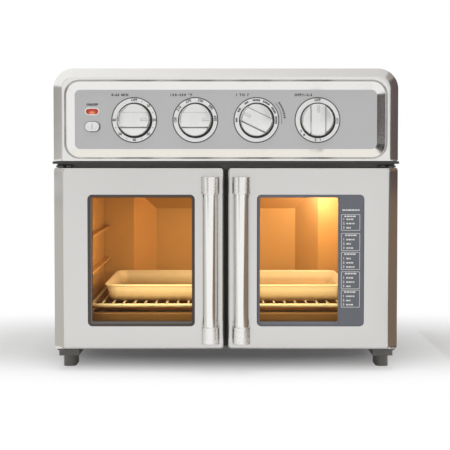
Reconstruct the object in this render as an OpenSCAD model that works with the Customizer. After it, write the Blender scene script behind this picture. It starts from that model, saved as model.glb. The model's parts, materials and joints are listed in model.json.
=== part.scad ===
// Countertop air fryer toaster oven with two side-hinged doors, in millimetres.
// +X is to the user's right, -Y is the front and +Z is up. The origin lies on
// the table under the middle of the oven's overall box.

/* [Case] */
// Width of the case across the header
case_w = 406.4; // [396:0.2:420]
// Depth of the case from the front frame to the rear cover
case_d = 300; // [290:1:330]
// Radius of the two top corners of the case
case_corner_r = 24; // [20:1:30]
// Thickness of the folded sheet panels
sheet_t = 0.8; // [0.6:0.1:1.5]
// Thickness of the front frame
frame_t = 1.2; // [0.8:0.1:2.5]
// How far the rear cover is pressed out behind the cavity
rear_bump_d = 18; // [12:1:26]
// Width of the pressed-out area of the rear cover
rear_bump_w = 290; // [260:1:300]
// Height of the pressed-out area of the rear cover
rear_bump_h = 176; // [150:1:184]

/* [Header] */
// Height of the header above the trim strip
header_h = 109.2; // [104:0.2:120]
// Radius of the header's rounded outer edge
header_edge_r = 9; // [6:0.5:11]
// Width of the flat rim inside the rounded edge
header_rim_w = 4; // [3:0.5:6]
// Width of the flat rim along the bottom of the header
header_sill_w = 2.6; // [2:0.2:5]
// Width of the sloped surround of the control panel
header_slope_w = 12; // [9:0.5:13]
// Depth of the sloped surround
header_slope_d = 8; // [6:0.5:10]
// Corner radius of the sloped surround at the rim
header_slope_r = 16; // [15:0.5:20]
// Wall thickness of the header behind its face
header_wall = 1.2; // [1:0.1:2.2]
// How far the header laps over the outer wrap
header_lap = 8; // [5:1:14]
// Thickness of the control panel
panel_t = 1.6; // [1.2:0.1:2.5]
// How far the control panel laps behind the surround
panel_lap = 5; // [3:0.5:6]
// Thickness of the trim strip under the header
strip_t = 3; // [2:0.2:4]
// How far the trim strip stands out at each side
strip_over = 0.6; // [0.4:0.1:2]
// How far the trim strip is set back from the header's face
strip_back = 1; // [0.5:0.5:4]

/* [Controls] */
// Height of the knob axes above the bottom of the header
knob_rise = 48.6; // [46:0.2:52]
// Distance of the outer knobs from the ends of the panel's opening
knob_edge = 70.2; // [68:0.2:76]
// Diameter of a knob
knob_d = 39; // [34:0.5:42]
// Height of a knob
knob_h = 20; // [16:0.5:24]
// Height of the low cheeks beside a knob's grip bar
knob_cheek_h = 8; // [6:0.5:11]
// Width of a knob's grip bar along its top
knob_bar_w = 16.6; // [13:0.2:19]
// How much wider the grip bar gets at each side of its foot
knob_bar_draft = 1.4; // [0.6:0.2:2.4]
// Width of the pointer line on a grip bar
pointer_w = 1.2; // [0.8:0.1:2]
// Length of the pointer line
pointer_l = 9; // [6:0.5:11]
// Diameter of a dial plate
dial_d = 53; // [48:0.5:58]
// Thickness of a dial plate
dial_t = 0.8; // [0.5:0.1:1.2]
// Diameter of a control's spindle
spindle_d = 6; // [5:0.2:7]
// Diameter of the round control bodies behind the panel
control_d = 42; // [36:1:48]
// Depth of the control bodies behind the panel
control_l = 28; // [22:1:34]
// Distance of the lamp and the light button from the end of the panel's opening
pilot_edge = 20.6; // [18:0.2:24]
// Width of the indicator lens
lens_w = 15.8; // [13:0.2:18]
// Height of the indicator lens
lens_h = 7.6; // [6:0.2:9]
// Height of the indicator lens above the knob axes
lens_rise = 10; // [9:0.2:13]
// Width of the light button
button_w = 17.6; // [15:0.2:20]
// Height of the light button
button_h = 11.6; // [9:0.2:12]
// Depth of the light button below the knob axes
button_drop = 7.7; // [6:0.1:10]
// How far the light button stands out of the panel
button_out = 4; // [3:0.5:6]
// Travel of the light button
button_travel = 2.5; // [1.5:0.1:3]

/* [Doors] */
// Height of a door
door_h = 214.6; // [206:0.2:226]
// Thickness of a door
door_t = 28; // [26:0.5:34]
// Gap between the two doors
door_gap = 5; // [3:0.2:8]
// Radius of a door's outer upright edge
door_edge_r = 9.5; // [6:0.5:11]
// Radius of a door's other front edges
door_soft_r = 2.4; // [1.8:0.2:4]
// Corner radius of a door seen from the front
door_corner_r = 4; // [3:0.5:7]
// Thickness of a door's steel skin
door_skin_t = 0.8; // [0.6:0.1:1.6]
// Thickness of a door's liner
liner_t = 4; // [3:0.2:5]
// Thickness of a window's glass
glass_t = 3; // [2.5:0.1:4]
// Distance from a door's outer edge to its window
window_outer = 40.6; // [36:0.2:46]
// Distance from a door's inner edge to its window
window_inner = 34.6; // [32:0.2:40]
// Distance from a door's top to its window
window_above = 32.2; // [28:0.2:38]
// Distance from a door's bottom to its window
window_below = 27.6; // [24:0.2:34]
// Corner radius of a window
window_r = 5; // [4:0.2:9]
// Width of a window bezel's dark face
bezel_w = 3; // [2:0.2:4]
// How far a window bezel stands out of the door
bezel_out = 0.6; // [0.2:0.1:1.2]
// How far the glass laps behind the bezel
glass_lap = 4; // [2:0.5:6]

/* [Hinges] */
// Distance of a hinge axis from the door's outer edge
hinge_inset = 8; // [7.6:0.1:9]
// Distance of a hinge axis in front of the door's back
hinge_back = 14; // [11:0.5:16]
// Diameter of a hinge pin
hinge_pin_d = 5; // [4:0.2:6]
// How far a hinge pin reaches into the door
hinge_pin_reach = 14; // [10:0.5:18]
// Radius of the hinge bosses in a door liner
hinge_boss_r = 6; // [4.6:0.1:6.4]
// Thickness of a hinge plate
hinge_plate_t = 2; // [1.5:0.1:2.5]
// Width of a hinge plate
hinge_plate_w = 20; // [16:0.5:26]

/* [Handles] */
// Distance of a handle's axis from the middle of the oven
handle_off = 18; // [16:0.2:20]
// How far the handles stand out from the door faces
handle_reach = 42; // [36:0.5:50]
// Diameter of a handle tube
handle_d = 17.8; // [15:0.2:19]
// Wall of a handle tube
handle_wall = 1.5; // [1:0.1:2.5]
// Width of a handle post
post_w = 21; // [19:0.5:24]
// Height of a handle post
post_h = 20; // [16:0.5:26]
// Depth of the socket that takes the tube in a post
post_socket = 10; // [6:0.5:14]
// Distance of the handle posts from the door's top and bottom
handle_end = 10.4; // [6:0.2:16]

/* [Feet] */
// Height of the feet
foot_h = 23.6; // [18:0.2:26]
// Height of a foot's leg below its flange
foot_leg_h = 13.5; // [9:0.5:15]
// Width of a foot's flange
foot_flange_w = 24; // [20:0.5:28]
// Depth of a foot's flange
foot_flange_d = 54; // [44:1:62]
// Width of a foot's leg
foot_leg_w = 15; // [12:0.5:18]
// Depth of a foot's leg
foot_leg_d = 44; // [34:1:48]
// Distance of the feet from the ends of the base
foot_end = 4; // [2:0.5:12]

/* [Cavity] */
// Distance from the case side to the cavity wall
side_gap = 35.2; // [32:0.2:44]
// Height of the cavity floor above the door's bottom edge
sill_h = 18; // [14:0.5:22]
// Distance of the cavity ceiling below the door's top edge
head_h = 8.6; // [8:0.2:14]
// Depth of the pressed-out area of the cavity's back wall
cavity_bump_d = 30; // [20:1:34]
// Width of the pressed-out area of the cavity's back wall
cavity_bump_w = 256; // [220:1:280]
// Height of the pressed-out area of the cavity's back wall
cavity_bump_h = 158; // [130:1:168]
// Gap between the cavity's back and the rear cover
rear_gap = 4; // [2:0.5:12]
// Number of rack levels
rack_levels = 3; // [2:1:3]
// Distance between the rack levels
rack_step = 44; // [36:1:48]
// Height of the lowest rack above the cavity floor
rack_rise = 29; // [27:0.5:34]
// Width of the ledges that carry the rack
ledge_w = 8; // [6:0.5:11]
// Height of the ledges that carry the rack
ledge_h = 6; // [4:0.5:8]

/* [Heating] */
// Diameter of a heating element
element_d = 7; // [6:0.2:8.5]
// Diameter of the ceramic bushes that carry the elements
bush_d = 12; // [10:0.5:14]
// Distance of the lower elements above the cavity floor
lower_rise = 13; // [11:0.5:15]
// Distance of the upper elements below the cavity ceiling
upper_drop = 14; // [10:0.5:20]
// Distance of the elements from the middle of the cavity
element_off = 102; // [96:1:110]
// Diameter of the fan impeller
fan_d = 116; // [100:1:130]
// Height of the fan impeller's blades
fan_h = 16; // [12:0.5:18]
// Number of fan blades
fan_blades = 9; // [6:1:12]
// Diameter of the fan guard
guard_d = 168; // [160:1:176]
// Depth of the fan guard below the ceiling
guard_h = 27; // [25:0.5:30]
// Diameter of the fan motor
motor_d = 74; // [60:1:86]
// Height of the fan motor
motor_h = 46; // [36:1:60]
// Diameter of the lamp's opening in the cavity wall
lamp_d = 38; // [32:0.5:44]
// Height of the lamp above the cavity floor
lamp_rise = 140; // [136:1:145]

/* [Inserts] */
// Side clearance of the rack between the cavity walls
rack_clear = 2; // [1:0.5:4]
// Distance of the rack behind the front frame
rack_set = 14; // [12:0.5:20]
// Depth of the rack
rack_l = 240; // [210:1:244]
// Diameter of the rack's frame rod
rack_rod_d = 5; // [4:0.2:6]
// Bend radius of the rack's corners along the middle of the rod
rack_bend = 10; // [7:0.5:14]
// Diameter of the rack's cross wires
rack_wire_d = 2.6; // [2:0.2:3.4]
// Distance between the rack's cross wires
rack_pitch = 13; // [11:0.5:20]
// Width of the baking pan
pan_w = 298; // [270:1:306]
// Depth of the baking pan
pan_l = 220; // [190:1:226]
// Height of the baking pan
pan_h = 20; // [14:0.5:28]
// Wall of the baking pan
pan_wall = 1.2; // [0.8:0.1:2]
// Width of the pan's rim
pan_rim_w = 6; // [4:0.5:7]
// Corner radius of the pan
pan_r = 16; // [12:0.5:24]
// Distance of the pan behind the front of the rack
pan_set = 13; // [13:0.5:15]
// Side clearance of the crumb tray between the cavity walls
tray_clear = 3; // [2:0.5:6]
// Distance of the crumb tray behind the front frame
tray_set = 12; // [11:0.5:16]
// Depth of the crumb tray
tray_l = 244; // [220:1:246]
// Height of the crumb tray's front
tray_front_h = 20; // [16:0.5:22]
// Height of the crumb tray's other walls
tray_wall_h = 5; // [3:0.5:6]

/* [Clearances] */
// Gap between a moving piece and the piece that carries it
seat_gap = 0.3; // [0.2:0.05:0.4]
// Gap between two bent sheets that lap or nest
sheet_gap = 0.4; // [0.3:0.05:0.6]
// Radial clearance of a pin or spindle in its bore
bore_clear = 0.05; // [0.03:0.01:0.08]
// Gap between a door's edges and its hinge plates
hinge_gap = 0.4; // [0.3:0.05:0.8]
// Least gap between a swinging door and the front frame
swing_clear = 0.5; // [0.4:0.05:1]
// Gap between the upper hinge plates and the trim strip
strip_gap = 2; // [1:0.2:3]
// Gap between a knob and its dial plate
knob_gap = 0.6; // [0.4:0.1:1]
// Gap round the light button in its hole
button_gap = 0.4; // [0.2:0.1:0.6]

/* [Hidden] */
$fn = 64;
// Overshoot of a cut past the face it opens
cut = 1;
// How much wider than its spindle a hole in the panel or a dial plate is
spindle_room = 2;
// How much wider than its hinge pin a hole in a door skin is
pin_room = 1;

// Places along the depth, from the front to the back
door_clear = sqrt(pow(hinge_inset, 2) + pow(hinge_back, 2)) - hinge_back + swing_clear;
total_d = handle_reach + door_t + door_clear + case_d + rear_bump_d;
y_handle = -total_d / 2;
y_face = y_handle + handle_reach;
y_door_back = y_face + door_t;
y_frame = y_door_back + door_clear;
y_inside = y_frame + frame_t;
y_case_back = y_frame + case_d;
cavity_d = case_d - frame_t - cavity_bump_d - sheet_t - rear_gap;
y_cavity_back = y_inside + cavity_d;
y_cavity_mid = y_inside + cavity_d / 2;
y_panel = y_face + header_slope_d;
y_panel_back = y_panel + panel_t;
y_hinge = y_door_back - hinge_back;
y_handle_axis = y_handle + post_w / 2;

// Places along the height, from the table upwards
z_door = foot_h + hinge_plate_t + hinge_gap;
z_door_top = z_door + door_h;
z_strip = z_door_top + hinge_gap + hinge_plate_t + strip_gap;
z_header = z_strip + strip_t;
z_top = z_header + header_h;
z_knob = z_header + knob_rise;
z_floor = z_door + sill_h;
z_ceiling = z_door_top - head_h;
z_rack = z_floor + rack_rise;

// Sizes that follow from the driving ones
wrap_w = case_w - 2 * header_wall;
wrap_h = z_top - header_wall - foot_h;
wrap_r = case_corner_r - header_wall;
inner_w = wrap_w - 2 * sheet_t;
wrap_l = case_d - sheet_t;
header_l = door_t + door_clear + header_lap;
slope_w = case_w - 2 * (header_edge_r + header_rim_w);
slope_h = header_h - header_edge_r - header_rim_w - header_sill_w;
z_slope = z_header + header_sill_w + slope_h / 2;
opening_w = slope_w - 2 * header_slope_w;
panel_w = opening_w + 2 * panel_lap;
panel_h = slope_h - 2 * header_slope_w + 2 * panel_lap;
pilot_x = opening_w / 2 - pilot_edge;
knob_pitch = (opening_w - 2 * knob_edge) / 3;
cavity_w = case_w - 2 * side_gap;
cavity_h = z_ceiling - z_floor;
door_x0 = -case_w / 2;
door_x1 = -door_gap / 2;
door_w = door_x1 - door_x0;
window_w = door_w - window_outer - window_inner;
window_h = door_h - window_above - window_below;
window_x = door_x0 + window_outer + window_w / 2;
window_z = z_door + window_below + window_h / 2;
bezel_l = door_t - liner_t - glass_t;
y_glass = y_face + bezel_l;
hinge_x = door_x0 + hinge_inset;
// Wall of a hinge boss past the end of its pin
hinge_boss_end = 4;
hinge_boss_h = hinge_pin_reach + hinge_boss_end;
handle_z0 = z_door + handle_end;
handle_z1 = z_door_top - handle_end;

// Knobs from left to right: timer, temperature, function and shade
// Rest angle of each knob, clockwise from straight up, seen from the front
knob_angles = [90, 90, -64, 0];
knob_xs = [for (i = [0:3]) (i - 1.5) * knob_pitch];

// Extrude a front-view outline (x, z) backwards from y0
module along_y(y0, depth) {
  translate([0, y0 + depth, 0]) rotate([90, 0, 0]) linear_extrude(depth) children();
}

// Extrude a side-view outline (y, z) to the right from x0
module along_x(x0, len) {
  translate([x0, 0, 0]) rotate([90, 0, 90]) linear_extrude(len) children();
}

// Round bar along the depth, from y0 backwards
module bar_y(x, z, y0, len, d) {
  translate([x, y0, z]) rotate([-90, 0, 0]) cylinder(h = len, d = d);
}

// Round bar along the width, from x0 to the right
module bar_x(y, z, x0, len, d) {
  translate([x0, y, z]) rotate([0, 90, 0]) cylinder(h = len, d = d);
}

// Draw children as they are and mirrored to the other side
module both_sides() {
  children();
  mirror([1, 0, 0]) children();
}

// Rectangle about the middle with four rounded corners
module rounded_rect(w, h, r) {
  square([w - 2 * r, h], center = true);
  square([w, h - 2 * r], center = true);
  for (sx = [-1, 1], sy = [-1, 1])
    translate([sx * (w / 2 - r), sy * (h / 2 - r)]) circle(r);
}

// Rectangle standing on the X axis with its two upper corners rounded
module arch(w, h, r) {
  translate([-w / 2, 0]) square([w, h - r]);
  translate([-w / 2 + r, 0]) square([w - 2 * r, h]);
  for (sx = [-1, 1]) translate([sx * (w / 2 - r), h - r]) circle(r);
}

// Slot with two round ends, about the middle
module pill(w, h) {
  square([w - h, h], center = true);
  for (sx = [-1, 1]) translate([sx * (w - h) / 2, 0]) circle(d = h);
}

// Section w wide and d deep whose outer front corner is rounded
module edge_section(w, d, r) {
  difference() {
    square([w, d]);
    difference() {
      translate([-cut, -cut]) square(r + cut);
      translate([r, r]) circle(r);
    }
  }
}

// Four-sided pressing along the depth: w1 by h1 at the foot, with 45 degree sides
module pressing(w1, h1, d) {
  intersection() {
    linear_extrude(h1, center = true)
      polygon([[-w1 / 2, 0], [w1 / 2, 0], [w1 / 2 - d, d], [d - w1 / 2, d]]);
    rotate([90, 0, 90]) linear_extrude(w1, center = true)
      polygon([[0, -h1 / 2], [0, h1 / 2], [d, h1 / 2 - d], [d, d - h1 / 2]]);
  }
}

// Row of upright vent slots about the middle, cut backwards from y0
module slot_row(y0, depth) {
  for (i = [0:rear_slots - 1])
    along_y(y0, depth) translate([(i - (rear_slots - 1) / 2) * vent_pitch, 0])
      rotate(90) pill(vent_h, vent_w);
}

// Header: rounded shell, sloped surround and open back

// Closed outer form of the header with its front edge rounded at the sides and top
module header_form() {
  translate([0, y_face, z_header]) linear_extrude(header_h - case_corner_r)
    both_sides() translate([-case_w / 2, 0]) edge_section(case_w / 2 + cut, header_l, header_edge_r);
  along_x(case_corner_r - case_w / 2, case_w - 2 * case_corner_r)
    translate([y_face, z_top]) rotate(-90) edge_section(case_corner_r, header_l, header_edge_r);
  both_sides() translate([case_w / 2 - case_corner_r, y_face, z_top - case_corner_r])
    rotate([-90, 0, 0]) rotate([0, 0, -90]) rotate_extrude(angle = 90) intersection() {
      square([case_corner_r, header_l]);
      translate([case_corner_r, 0]) mirror([1, 0])
        edge_section(case_corner_r + cut, header_l, header_edge_r);
    }
}

// Tapered pocket whose straight sides and round corners close in with depth
module slope_pocket() {
  lean = header_slope_w / header_slope_d;
  w0 = slope_w / 2 + lean * cut;
  h0 = slope_h / 2 + lean * cut;
  deep = header_slope_d + cut;
  w1 = slope_w / 2 - lean * deep;
  h1 = slope_h / 2 - lean * deep;
  cx = slope_w / 2 - header_slope_r;
  cz = slope_h / 2 - header_slope_r;
  translate([0, y_face, z_slope]) {
    linear_extrude(2 * cz, center = true)
      polygon([[-w0, -cut], [w0, -cut], [w1, deep], [-w1, deep]]);
    rotate([90, 0, 90]) linear_extrude(2 * cx, center = true)
      polygon([[-cut, -h0], [-cut, h0], [deep, h1], [deep, -h1]]);
    for (sx = [-1, 1], sz = [-1, 1])
      translate([sx * cx, -cut, sz * cz]) rotate([-90, 0, 0])
        cylinder(h = deep + cut, r1 = header_slope_r + lean * cut, r2 = header_slope_r - lean * deep);
  }
}

module header_fascia() color("gainsboro") difference() {
  header_form();
  slope_pocket();
  along_y(y_panel, header_l) translate([0, z_header + header_wall])
    arch(wrap_w + 2 * sheet_gap, header_h - 2 * header_wall + sheet_gap, wrap_r + sheet_gap);
  // Slots in the lower wall that the wrap's sides pass through
  both_sides() translate([wrap_w / 2 - sheet_t - sheet_gap, y_frame - sheet_gap, z_header - cut])
    cube([sheet_t + 2 * sheet_gap, header_l, header_wall + 2 * cut]);
}

module control_panel() color("lightgrey") difference() {
  along_y(y_panel, panel_t) translate([0, z_slope])
    square([panel_w, panel_h], center = true);
  for (x = knob_xs) bar_y(x, z_knob, y_panel - cut, panel_t + 2 * cut, spindle_d + spindle_room);
  along_y(y_panel - cut, panel_t + 2 * cut) {
    translate([-pilot_x, z_knob + lens_rise]) pill(lens_w, lens_h);
    translate([-pilot_x, z_knob - button_drop])
      pill(button_w + 2 * button_gap, button_h + 2 * button_gap);
  }
}

module trim_strip() color("black")
  translate([0, 0, z_strip]) linear_extrude(strip_t) both_sides()
    translate([-case_w / 2 - strip_over, y_face + strip_back])
      edge_section(case_w / 2 + strip_over + cut, y_frame - y_face - strip_back, strip_over);

module dial_plates() color("whitesmoke")
  for (x = knob_xs) difference() {
    bar_y(x, z_knob, y_panel - dial_t, dial_t, dial_d);
    bar_y(x, z_knob, y_panel - dial_t - cut, dial_t + 2 * cut, spindle_d + spindle_room);
  }

// Controls: knobs, spindles and the bodies behind the panel

// Knob i with its grip bar, pointer line and hollow back, turned to its rest angle
module knob(i) {
  y_back = y_panel - dial_t - knob_gap;
  foot_w = knob_bar_w + 2 * knob_bar_draft;
  bore_l = spindle_reach();
  translate([knob_xs[i], y_back, z_knob]) rotate([0, knob_angles[i], 0])
    color("gainsboro") difference() {
      bar_y(0, 0, -knob_h, knob_h, knob_d);
      both_sides() linear_extrude(knob_d + 2 * cut, center = true)
        polygon([
          [knob_bar_w / 2, -knob_h - cut], [foot_w / 2, -knob_cheek_h],
          [knob_d / 2 + cut, -knob_cheek_h], [knob_d / 2 + cut, -knob_h - cut]
        ]);
      translate([-pointer_w / 2, -knob_h - cut, knob_d / 2 - pointer_l])
        cube([pointer_w, cut + knob_skin / 3, pointer_l + cut]);
      difference() {
        bar_y(0, 0, -knob_cheek_h + knob_skin, knob_cheek_h, knob_d - 2 * knob_skin);
        bar_y(0, 0, -knob_h, knob_h + cut, spindle_d + 2 * knob_skin);
      }
      bar_y(0, 0, -bore_l, bore_l + cut, spindle_d);
    }
}
// Wall of a knob and of the boss that takes its spindle
knob_skin = 2.4;
// How far a spindle reaches into its knob
function spindle_reach() = knob_cheek_h + knob_skin;
// How far a spindle reaches into its control body
spindle_in = 14;

module spindle(i) color("silver")
  bar_y(knob_xs[i], z_knob, y_panel - dial_t - knob_gap - spindle_reach(),
    spindle_reach() + knob_gap + dial_t + panel_t + spindle_in, spindle_d);

// Bore for the spindle of control i
module spindle_bore(i)
  bar_y(knob_xs[i], z_knob, y_panel_back - cut, spindle_in + seat_gap + cut, spindle_d + 2 * bore_clear);

// Threaded neck that clamps a control body to the panel
module control_neck(i) bar_y(knob_xs[i], z_knob, y_panel_back, neck_l + cut, spindle_d + 2 * neck_wall);
// Wall of a control's neck
neck_wall = 3;
// Length of a control's neck
neck_l = 4;
// Step between the wide and the narrow stages of the control bodies
control_step = 4;

module timer_control() color("goldenrod") difference() {
  union() {
    control_neck(0);
    bar_y(knob_xs[0], z_knob, y_panel_back + neck_l, panel_t, control_d);
    bar_y(knob_xs[0], z_knob, y_panel_back + neck_l, control_l - neck_l, control_d - control_step);
  }
  spindle_bore(0);
}

module temperature_control() color("tan") difference() {
  union() {
    control_neck(1);
    translate([knob_xs[1] - control_d / 2, y_panel_back + neck_l, z_knob - control_d / 3])
      cube([control_d, control_l - neck_l, 2 * control_d / 3]);
  }
  spindle_bore(1);
}

module function_switch() color("ivory") difference() {
  union() {
    control_neck(2);
    for (k = [0:1]) translate([knob_xs[2], y_panel_back + neck_l, z_knob])
      along_y(k * (control_l - neck_l) / 2, (control_l - neck_l) / 2)
        rounded_rect(control_d - control_step * k, control_d - control_step * k, control_step);
  }
  spindle_bore(2);
}

module shade_control() color("dimgrey") difference() {
  union() {
    control_neck(3);
    bar_y(knob_xs[3], z_knob, y_panel_back + neck_l, control_l - neck_l, control_d - 2 * control_step);
  }
  spindle_bore(3);
}

module indicator_lens() color("orangered")
  along_y(y_panel - lens_out, lens_out + panel_t + lens_in)
    translate([-pilot_x, z_knob + lens_rise]) pill(lens_w, lens_h);
// How far the indicator lens stands out of the panel
lens_out = 1.5;
// How far the indicator lens reaches behind the panel
lens_in = 4;

// Light button: pill-shaped cap with a flange that stops behind the panel
module light_button() color("silver") {
  y_flange = y_panel_back + seat_gap;
  translate([0, 0, z_knob - button_drop]) {
    along_y(y_panel - button_out, button_out + panel_t + seat_gap + cut)
      translate([-pilot_x, 0]) pill(button_w, button_h);
    along_y(y_flange, button_flange)
      translate([-pilot_x, 0]) pill(button_w + 2 * button_flange, button_h + button_flange);
  }
}
// Thickness and overlap of the light button's flange
button_flange = 2;

// Switch housing: open-fronted box behind the panel round the button's flange
module switch_housing() color("black") {
  wide = button_w + 2 * button_flange + 2 * housing_gap;
  high = button_h + button_flange + 2 * housing_gap;
  deep = button_flange + seat_gap + button_travel + housing_gap;
  translate([-pilot_x, 0, z_knob - button_drop]) difference() {
    along_y(y_panel_back, deep + housing_wall)
      square([wide + 2 * housing_wall, high + 2 * housing_wall], center = true);
    along_y(y_panel_back - cut, deep + cut) square([wide, high], center = true);
  }
}
// Gap round the button's flange inside its housing
housing_gap = 0.6;
// Wall of the switch housing
housing_wall = 1.2;

// Case: wrap, rear cover, base, feet and front frame

// Slots on each side near the top of the case
side_slots = 9;
// Slots in each row of the rear cover and of the base plate
rear_slots = 16;
base_slots = 12;
// Distance between the two slot rows of the rear cover and of the base plate
vent_row_step = 48;
base_row_step = 136;
// Distance between the slots of a vent
vent_pitch = 10;
// Width of a vent slot
vent_w = 4;
// Height of a vent slot
vent_h = 34;

module outer_wrap() color("silver") difference() {
  along_y(y_frame, wrap_l) translate([0, foot_h]) difference() {
    arch(wrap_w, wrap_h, wrap_r);
    translate([0, -cut]) arch(inner_w, wrap_h - sheet_t + cut, wrap_r - sheet_t);
  }
  for (i = [0:side_slots - 1])
    along_x(-wrap_w / 2 - cut, wrap_w + 2 * cut)
      translate([y_case_back - case_corner_r - (i + 1) * vent_pitch, z_header + vent_h])
        rotate(90) pill(vent_h, vent_w);
}

module rear_cover() color("silver") {
  bump = rear_bump_d + sheet_t;
  z_bump = z_floor + cavity_h / 2;
  difference() {
    union() {
      along_y(y_case_back - sheet_t, sheet_t) translate([0, foot_h]) arch(wrap_w, wrap_h, wrap_r);
      translate([0, y_case_back - sheet_t, z_bump]) pressing(rear_bump_w, rear_bump_h, bump);
    }
    translate([0, y_case_back - 2 * sheet_t, z_bump]) pressing(rear_bump_w, rear_bump_h, bump);
    for (z = [z_header + vent_h / 2, z_header + vent_h / 2 + vent_row_step])
      translate([0, 0, z]) slot_row(y_case_back - sheet_t - cut, sheet_t + 2 * cut);
    bar_y(gland_x, gland_z, y_case_back - sheet_t - cut, sheet_t + 2 * cut, gland_d);
  }
}
// Distance of the mains cord's gland from the side and the bottom of the rear cover
gland_edge = 29.6;
gland_rise = 31.2;
gland_x = gland_edge - wrap_w / 2;
gland_z = foot_h + gland_rise;
// Diameter of the gland's neck, its flange and its cord hole
gland_d = 15;
gland_flange_d = 21;
gland_bore_d = 8;
// Length of the gland's neck and flange
gland_in = 8;
gland_out = 7;

module cord_gland() color("black") difference() {
  union() {
    bar_y(gland_x, gland_z, y_case_back - sheet_t - gland_in, sheet_t + gland_in, gland_d);
    bar_y(gland_x, gland_z, y_case_back, gland_out, gland_flange_d);
  }
  bar_y(gland_x, gland_z, y_case_back - sheet_t - gland_in - cut,
    sheet_t + gland_in + gland_out + 2 * cut, gland_bore_d);
}

// Diameter and height of a case screw's head, and its distance from the case edge
screw_d = 7;
screw_h = 2;
screw_edge = 9;

module case_screws() color("dimgrey")
  for (sx = [-1, 1], z = [foot_h + screw_edge, z_header, z_top - case_corner_r])
    bar_y(sx * (wrap_w / 2 - screw_edge), z, y_case_back, screw_h, screw_d);

module base_plate() color("silver") difference() {
  translate([-inner_w / 2, y_inside, foot_h])
    cube([inner_w, y_case_back - sheet_t - y_inside, sheet_t]);
  for (k = [-1, 1], i = [0:base_slots - 1])
    translate([(i - (base_slots - 1) / 2) * 2 * vent_pitch, y_cavity_mid + k * base_row_step / 2, 0])
      translate([0, 0, foot_h - cut]) linear_extrude(sheet_t + 2 * cut) rotate(90) pill(vent_h, vent_w);
}

// Radius of a foot's upright edges
foot_leg_r = foot_leg_w * 0.45;

// Foot under the left side whose flange starts at y0
module foot(y0) {
  x0 = -inner_w / 2;
  translate([x0, y0, foot_leg_h]) cube([foot_flange_w, foot_flange_d, foot_h - foot_leg_h]);
  translate([x0 + (foot_flange_w - foot_leg_w) / 2, y0 + (foot_flange_d - foot_leg_d) / 2, 0])
    linear_extrude(foot_leg_h) translate([foot_leg_w / 2, foot_leg_d / 2])
      rounded_rect(foot_leg_w, foot_leg_d, foot_leg_r);
}

module front_feet() color("black") both_sides() foot(y_inside + foot_end);

module rear_feet() color("black")
  both_sides() foot(y_case_back - sheet_t - foot_end - foot_flange_d);

module front_frame() color("darkgrey") difference() {
  translate([-inner_w / 2, y_frame, foot_h]) cube([inner_w, frame_t, z_header - foot_h]);
  translate([-cavity_w / 2, y_frame - cut, z_floor]) cube([cavity_w, frame_t + 2 * cut, cavity_h]);
}

// Cavity: five panels, ledges, heating, fan and lamp

// Ledge rooted in a left wall, with a sloped underside and its top face at height z
module ledge(z) along_y(y_inside, cavity_d) translate([-cavity_w / 2, z])
  polygon([
    [-sheet_t / 2, 0], [ledge_w, 0], [ledge_w, -ledge_h / 2], [0, -ledge_h], [-sheet_t / 2, -ledge_h]
  ]);

// Height of the top face of rack level n
function ledge_z(n) = z_rack + n * rack_step - rack_rod_d / 2 - seat_gap;

// Places (y, z) where the heating elements pass through the cavity walls
function element_places() = concat(lower_places(), upper_places());
function lower_places() = [for (s = [-1, 1]) [y_cavity_mid + s * element_off / 2, z_floor + lower_rise]];
function upper_places() = [for (s = [-1, 1]) [y_cavity_mid + s * element_off, z_ceiling - upper_drop]];

// Left cavity wall with its ledges and the holes for the element bushes
module cavity_side() difference() {
  union() {
    translate([-cavity_w / 2 - sheet_t, y_inside, z_floor]) cube([sheet_t, cavity_d, cavity_h]);
    for (n = [0:rack_levels - 1]) ledge(ledge_z(n));
  }
  for (p = element_places()) bar_x(p[0], p[1], -cavity_w / 2 - sheet_t - cut, sheet_t + 2 * cut, bush_d);
}

module cavity_side_left() color("darkkhaki") cavity_side();

module cavity_side_right() color("darkkhaki") difference() {
  mirror([1, 0, 0]) cavity_side();
  bar_x(y_cavity_mid, z_lamp, cavity_w / 2 - cut, sheet_t + 2 * cut, lamp_d);
}
z_lamp = z_floor + lamp_rise;

module cavity_ceiling() color("darkkhaki") difference() {
  translate([-cavity_w / 2 - sheet_t, y_inside, z_ceiling])
    cube([cavity_w + 2 * sheet_t, cavity_d, sheet_t]);
  translate([0, y_cavity_mid, z_ceiling - cut]) cylinder(h = sheet_t + 2 * cut, d = 2 * fan_shaft_d);
}

module cavity_floor() color("darkkhaki")
  translate([-cavity_w / 2 - sheet_t, y_inside, z_floor - sheet_t])
    cube([cavity_w + 2 * sheet_t, cavity_d, sheet_t]);

module cavity_back() color("darkkhaki") {
  bump = cavity_bump_d + sheet_t;
  z_bump = z_floor + cavity_h / 2 - cavity_bump_low;
  difference() {
    union() {
      translate([-cavity_w / 2 - sheet_t, y_cavity_back, z_floor - sheet_t])
        cube([cavity_w + 2 * sheet_t, sheet_t, cavity_h + 2 * sheet_t]);
      translate([0, y_cavity_back, z_bump]) pressing(cavity_bump_w, cavity_bump_h, bump);
    }
    translate([0, y_cavity_back - sheet_t, z_bump]) pressing(cavity_bump_w, cavity_bump_h, bump);
  }
}
// How far the pressed-out area lies below the middle of the back wall
cavity_bump_low = 6;

// How far the ceramic bushes stand out inside and outside the cavity wall
bush_in = 2;
bush_out = 9;

// Elements at the given places, from bush to bush
module elements(places) {
  reach = cavity_w / 2 + sheet_t + bush_out;
  for (p = places) bar_x(p[0], p[1], -reach, 2 * reach, element_d);
}

module upper_elements() color("dimgrey") elements(upper_places());

module lower_elements() color("dimgrey") elements(lower_places());

module element_bushes() color("white") both_sides()
  for (p = element_places()) difference() {
    bar_x(p[0], p[1], -cavity_w / 2 - sheet_t - bush_out, sheet_t + bush_out + bush_in, bush_d);
    bar_x(p[0], p[1], -cavity_w / 2 - sheet_t - bush_out - cut,
      sheet_t + bush_out + bush_in + 2 * cut, element_d);
  }

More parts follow.
